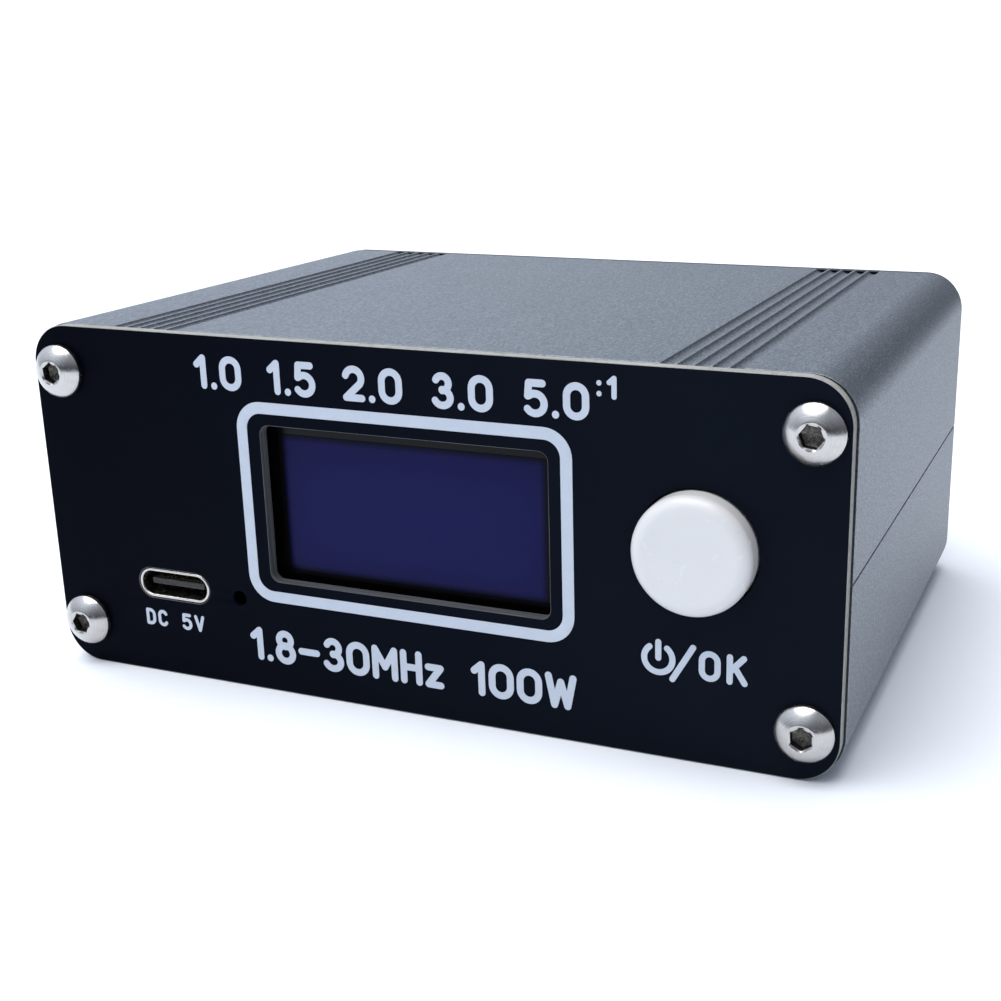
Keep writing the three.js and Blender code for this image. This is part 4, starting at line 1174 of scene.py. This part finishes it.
def add_radio_body(side, at, inner_end, barrel_end):
    """A threaded barrel with a notched rim, and the square flange it stands on."""
    radius, pitch, thread_depth, bore, seat_bore, bevel = 7.95, 1.058, 0.55, 6.3, 5.0, 0.15
    spigot, spigot_end, chamfer, notch_depth = 6.2, BACK_FACE + 0.5, 0.5, 0.9
    flange_width, flange_corner, flange_bore = 25.4, 1.5, radius - 0.6
    angles, ring = slotted_tube(96, 45, 5.5, 0.3, notch_depth)
    thread_start, thread_end = FLANGE_FACE + 0.9, barrel_end - chamfer - notch_depth
    steps_per_turn = 10
    turns = (thread_end - thread_start) / pitch

    def thread_row(row):
        """One line of points that climbs a full pitch as it goes once round the barrel.

        Rows step through the thread's section: 0 on its flat crest and 1 in its flat root. The
        thread grows over its first turn and fades out over the last quarter of a turn.
        """
        groove = min(1, max(0, 1.25 - abs(2 * row / steps_per_turn % 2 - 1) * 1.5))
        points = []
        for degrees in [*angles, 360]:
            height = min(turns, max(0, row / steps_per_turn + degrees / 360))
            fade = min(1, height, (turns - height) * 4)
            r = radius - thread_depth * groove * fade
            a = math.radians(degrees)
            points.append((r * math.cos(a), thread_start + height * pitch, r * math.sin(a)))
        return points

    rows = range(-steps_per_turn, math.ceil(turns * steps_per_turn) + 1)
    shape = Shape().loft([thread_row(row) for row in rows], wrapped=False)
    shape.loft([
        ring(radius, thread_end),
        ring(radius - 0.35, barrel_end - 0.3, rim=True),
        ring(radius - 0.55, barrel_end, rim=True),
        ring(bore + bevel, barrel_end, rim=True),
        ring(bore, barrel_end - bevel, rim=True),
        ring(bore, SEAT_FLOOR),
        ring(seat_bore, SEAT_FLOOR),
        ring(seat_bore, inner_end),
        ring(spigot, inner_end),
        ring(spigot, spigot_end),
        ring(radius, spigot_end),
        ring(radius, FLANGE_FACE),
        ring(radius, thread_start),
    ])
    flange = rounded_rectangle(0, 0, flange_width, flange_width, flange_corner, 8)
    holes = [circle(x, z, SCREW_HOLE_RADIUS, 24) for x, z in flange_holes(0, 0)]
    holes.append(circle(0, 0, flange_bore, 48))
    shape.slab(flange, holes, BACK_FACE, FLANGE_FACE, edge=0.25, steps=3, side_paint=1)
    shape.moved(*at)
    add_piece(f"rf_{side}_barrel", shape, [NICKEL, CASTING],
              replaced=[f"rf_{side}_body"], origin=at)


def add_radio_insulator(side, at):
    """A stepped disc with a shallow round groove in its face."""
    bore, seat, mouth, thickness, edge = 2.15, 4.9, 6.2, 1.5, 0.2
    groove_inner, groove_outer, groove_depth, groove_draft = 3.2, 4.2, 0.25, 0.1
    inner_end, floor = SHELL_BACK - 2.5, SEAT_FLOOR + 0.1
    face = SEAT_FLOOR + thickness
    shape = Shape().turned([
        (bore, inner_end),
        (seat, inner_end),
        (seat, floor),
        (mouth, floor),
        (mouth, face - edge),
        (mouth - edge, face),
        (groove_outer, face),
        (groove_outer - groove_draft, face - groove_depth),
        (groove_inner + groove_draft, face - groove_depth),
        (groove_inner, face),
        (bore, face),
    ], 72, closed=True).moved(*at)
    name = f"rf_{side}_insulator"
    add_piece(f"{name}_disc", shape, [INSULATOR], replaced=[name], origin=at)


def add_radio_contact(side, at, end):
    """The centre contact: a sleeve with four slots at its mouth, and a solder cup inside."""
    radius, bore, shaft, bevel, slot_length = 2.7, 2.0, 2.0, 0.15, 4.5
    cup_bore, cup_mouth, cup_floor = 1.35, SHELL_BACK - 7.8, SHELL_BACK - 4.2
    start = SEAT_FLOOR + 1.6
    bore_floor, slot_floor = start + 1.4, end - slot_length - 0.1
    _, ring = slotted_tube(64, 0, 6.0, 0.4, slot_length)
    shape = Shape().loft([
        [(0, cup_floor, 0)],
        ring(cup_bore, cup_floor),
        ring(cup_bore, cup_mouth),
        ring(shaft, cup_mouth),
        ring(shaft, start),
        ring(radius, start),
        ring(radius, slot_floor),
        ring(radius, end - 0.25, rim=True),
        ring(radius - 0.2, end, rim=True),
        ring(bore + bevel, end, rim=True),
        ring(bore, end - bevel, rim=True),
        ring(bore, slot_floor),
        ring(bore, bore_floor),
        [(0, bore_floor, 0)],
    ]).moved(*at)
    name = f"rf_{side}_contact"
    add_piece(f"{name}_sleeve", shape, [GOLD], replaced=[name], origin=at)


# ---------------- parts that stay as they are in the CAD

def finish_cad_nodes():
    """The pieces inside the case keep their CAD meshes and get these materials."""
    nuts = [f"rf_{side}_nut_{i}" for side in RF_SIDES for i in range(1, 5)]
    red = wire_skin("wire_red_skin", (0.36, 0.012, 0.010), (0.42, 0.02, 0.016))
    black = wire_skin("wire_black_skin", (0.012, 0.012, 0.013), (0.02, 0.02, 0.022))
    finishes = [
        (GREEN, ["display_board", "main_board"]),
        (BLACK, ["board_header", "switch_housing", "switch_plunger", "controller_chip"]),
        (STEEL, ["switch_dome", *nuts]),
        (foam(), ["display_pad"]),
        (amber_ribbon(), ["display_ribbon"]),
        (lamp_body(), ["charge_light"]),
        (battery_film(), ["battery_cell"]),
        (connector_white(), ["battery_socket"]),
        (red, ["battery_lead_red"]),
        (black, ["battery_lead_black"]),
        (ferrite(), ["line_ferrite_ring", "sense_ferrite_ring"]),
        (copper_enamel(), ["line_winding", "sense_winding", "line_conductor", "sense_link"]),
    ]
    for material, names in finishes:
        for name in names:
            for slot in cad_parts[name].material_slots:
                slot.material = material


# ---------------- stage, light and camera

FLOOR_REACH = 1500
FLOOR_RIGHT = 300
ROOM_HORIZON = 0.95
ROOM_OVERHEAD = 1.35
ROOM_OVERHEAD_RIGHT = 0.5
ROOM_FRONT_SHARE = 0.34
ROOM_RIGHT_SHARE = 0.17
ROOM_SEEN = 1.3
ROOM_COLOUR = (0.845, 0.92, 1.07, 1)
KEY_ENERGY = 2.52
KEY_COLOUR = (1.0, 0.975, 0.93)
KEY_SOFTNESS = 56
KEY_FROM = (-0.17, -0.14, 0.97)
CAMERA_AIM = (17.77, FRONT_FACE, 25.02)
CAMERA_DISTANCE = 134.6
CAMERA_AZIMUTH, CAMERA_ELEVATION, CAMERA_ROLL = [math.radians(a) for a in (22.58, 17.02, -0.885)]
LENS_LENGTH = 52.23
LENS_SHIFT = (-0.0705, -0.0033)


def add_floor():
    """A pale board that ends beside the case on the right, so that side gets less light."""
    left, right, reach = -FLOOR_REACH * MM, FLOOR_RIGHT * MM, FLOOR_REACH * MM
    mesh = bpy.data.meshes.new("floor")
    corners = [(left, -reach, 0), (right, -reach, 0), (right, reach, 0), (left, reach, 0)]
    mesh.from_pydata(corners, [], [(0, 1, 2, 3)])
    mesh.materials.append(floor_finish())
    floor = bpy.data.objects.new("floor", mesh)
    bpy.context.scene.collection.objects.link(floor)


def add_room_light():
    """Light from all round, dimmer in front and on the right. The camera sees plain white."""
    world = bpy.data.worlds.new("room")
    world.use_nodes = True
    tree = world.node_tree
    direction = add_node(tree, "ShaderNodeTexCoord", {}).outputs["Generated"]
    parts = add_node(tree, "ShaderNodeSeparateXYZ", {0: direction}).outputs

    def graded(axis, start, end, low, high):
        inputs = {0: parts[axis], 1: start, 2: end, 3: low, 4: high}
        return add_node(tree, "ShaderNodeMapRange", inputs).outputs[0]

    def mixed(share, first, second):
        return add_node(tree, "ShaderNodeMix", {0: share, 2: first, 3: second}).outputs[0]

    front = graded("Y", -0.9, 0.1, ROOM_FRONT_SHARE, 1.0)
    right = graded("X", -0.5, 0.0, ROOM_HORIZON, ROOM_RIGHT_SHARE)
    low_light = add_node(tree, "ShaderNodeMath", {0: front, 1: right}, operation="MULTIPLY")
    high_light = graded("X", -0.4, 0.4, ROOM_OVERHEAD, ROOM_OVERHEAD_RIGHT)
    level = mixed(graded("Z", 0.15, 0.75, 0.0, 1.0), low_light.outputs[0], high_light)
    camera_ray = add_node(tree, "ShaderNodeLightPath", {}).outputs["Is Camera Ray"]
    sky = tree.nodes["Background"]
    sky.inputs["Color"].default_value = ROOM_COLOUR
    tree.links.new(mixed(camera_ray, level, ROOM_SEEN), sky.inputs["Strength"])
    bpy.context.scene.world = world


def add_lights():
    add_room_light()
    sun = bpy.data.lights.new("soft_key", "SUN")
    sun.energy = KEY_ENERGY
    sun.color = KEY_COLOUR
    sun.angle = math.radians(KEY_SOFTNESS)
    lamp = bpy.data.objects.new("soft_key", sun)
    lamp.rotation_euler = Vector(KEY_FROM).to_track_quat("Z", "Y").to_euler()
    bpy.context.scene.collection.objects.link(lamp)
    bpy.context.scene.view_settings.view_transform = "Standard"


def add_camera():
    """Stands in front of the right half, a little above it, and leans very slightly."""
    outward = Vector((
        math.sin(CAMERA_AZIMUTH) * math.cos(CAMERA_ELEVATION),
        -math.cos(CAMERA_AZIMUTH) * math.cos(CAMERA_ELEVATION),
        math.sin(CAMERA_ELEVATION),
    ))
    lens = bpy.data.cameras.new("camera")
    lens.lens = LENS_LENGTH
    lens.shift_x, lens.shift_y = LENS_SHIFT
    lens.clip_start = 5 * MM
    camera = bpy.data.objects.new("camera", lens)
    camera.location = (Vector(CAMERA_AIM) + outward * CAMERA_DISTANCE) * MM
    level = outward.to_track_quat("Z", "Y")
    camera.rotation_euler = (level @ Quaternion((0, 0, 1), CAMERA_ROLL)).to_euler()
    bpy.context.scene.collection.objects.link(camera)
    bpy.context.scene.camera = camera


add_camera()
add_lights()
add_floor()
add_shells()
add_front_panel()
add_rear_panel()
add_case_screws()
add_display()
add_button()
add_power_socket()
add_printing()
for rf_side in RF_SIDES:
    add_radio_socket(rf_side)
finish_cad_nodes()
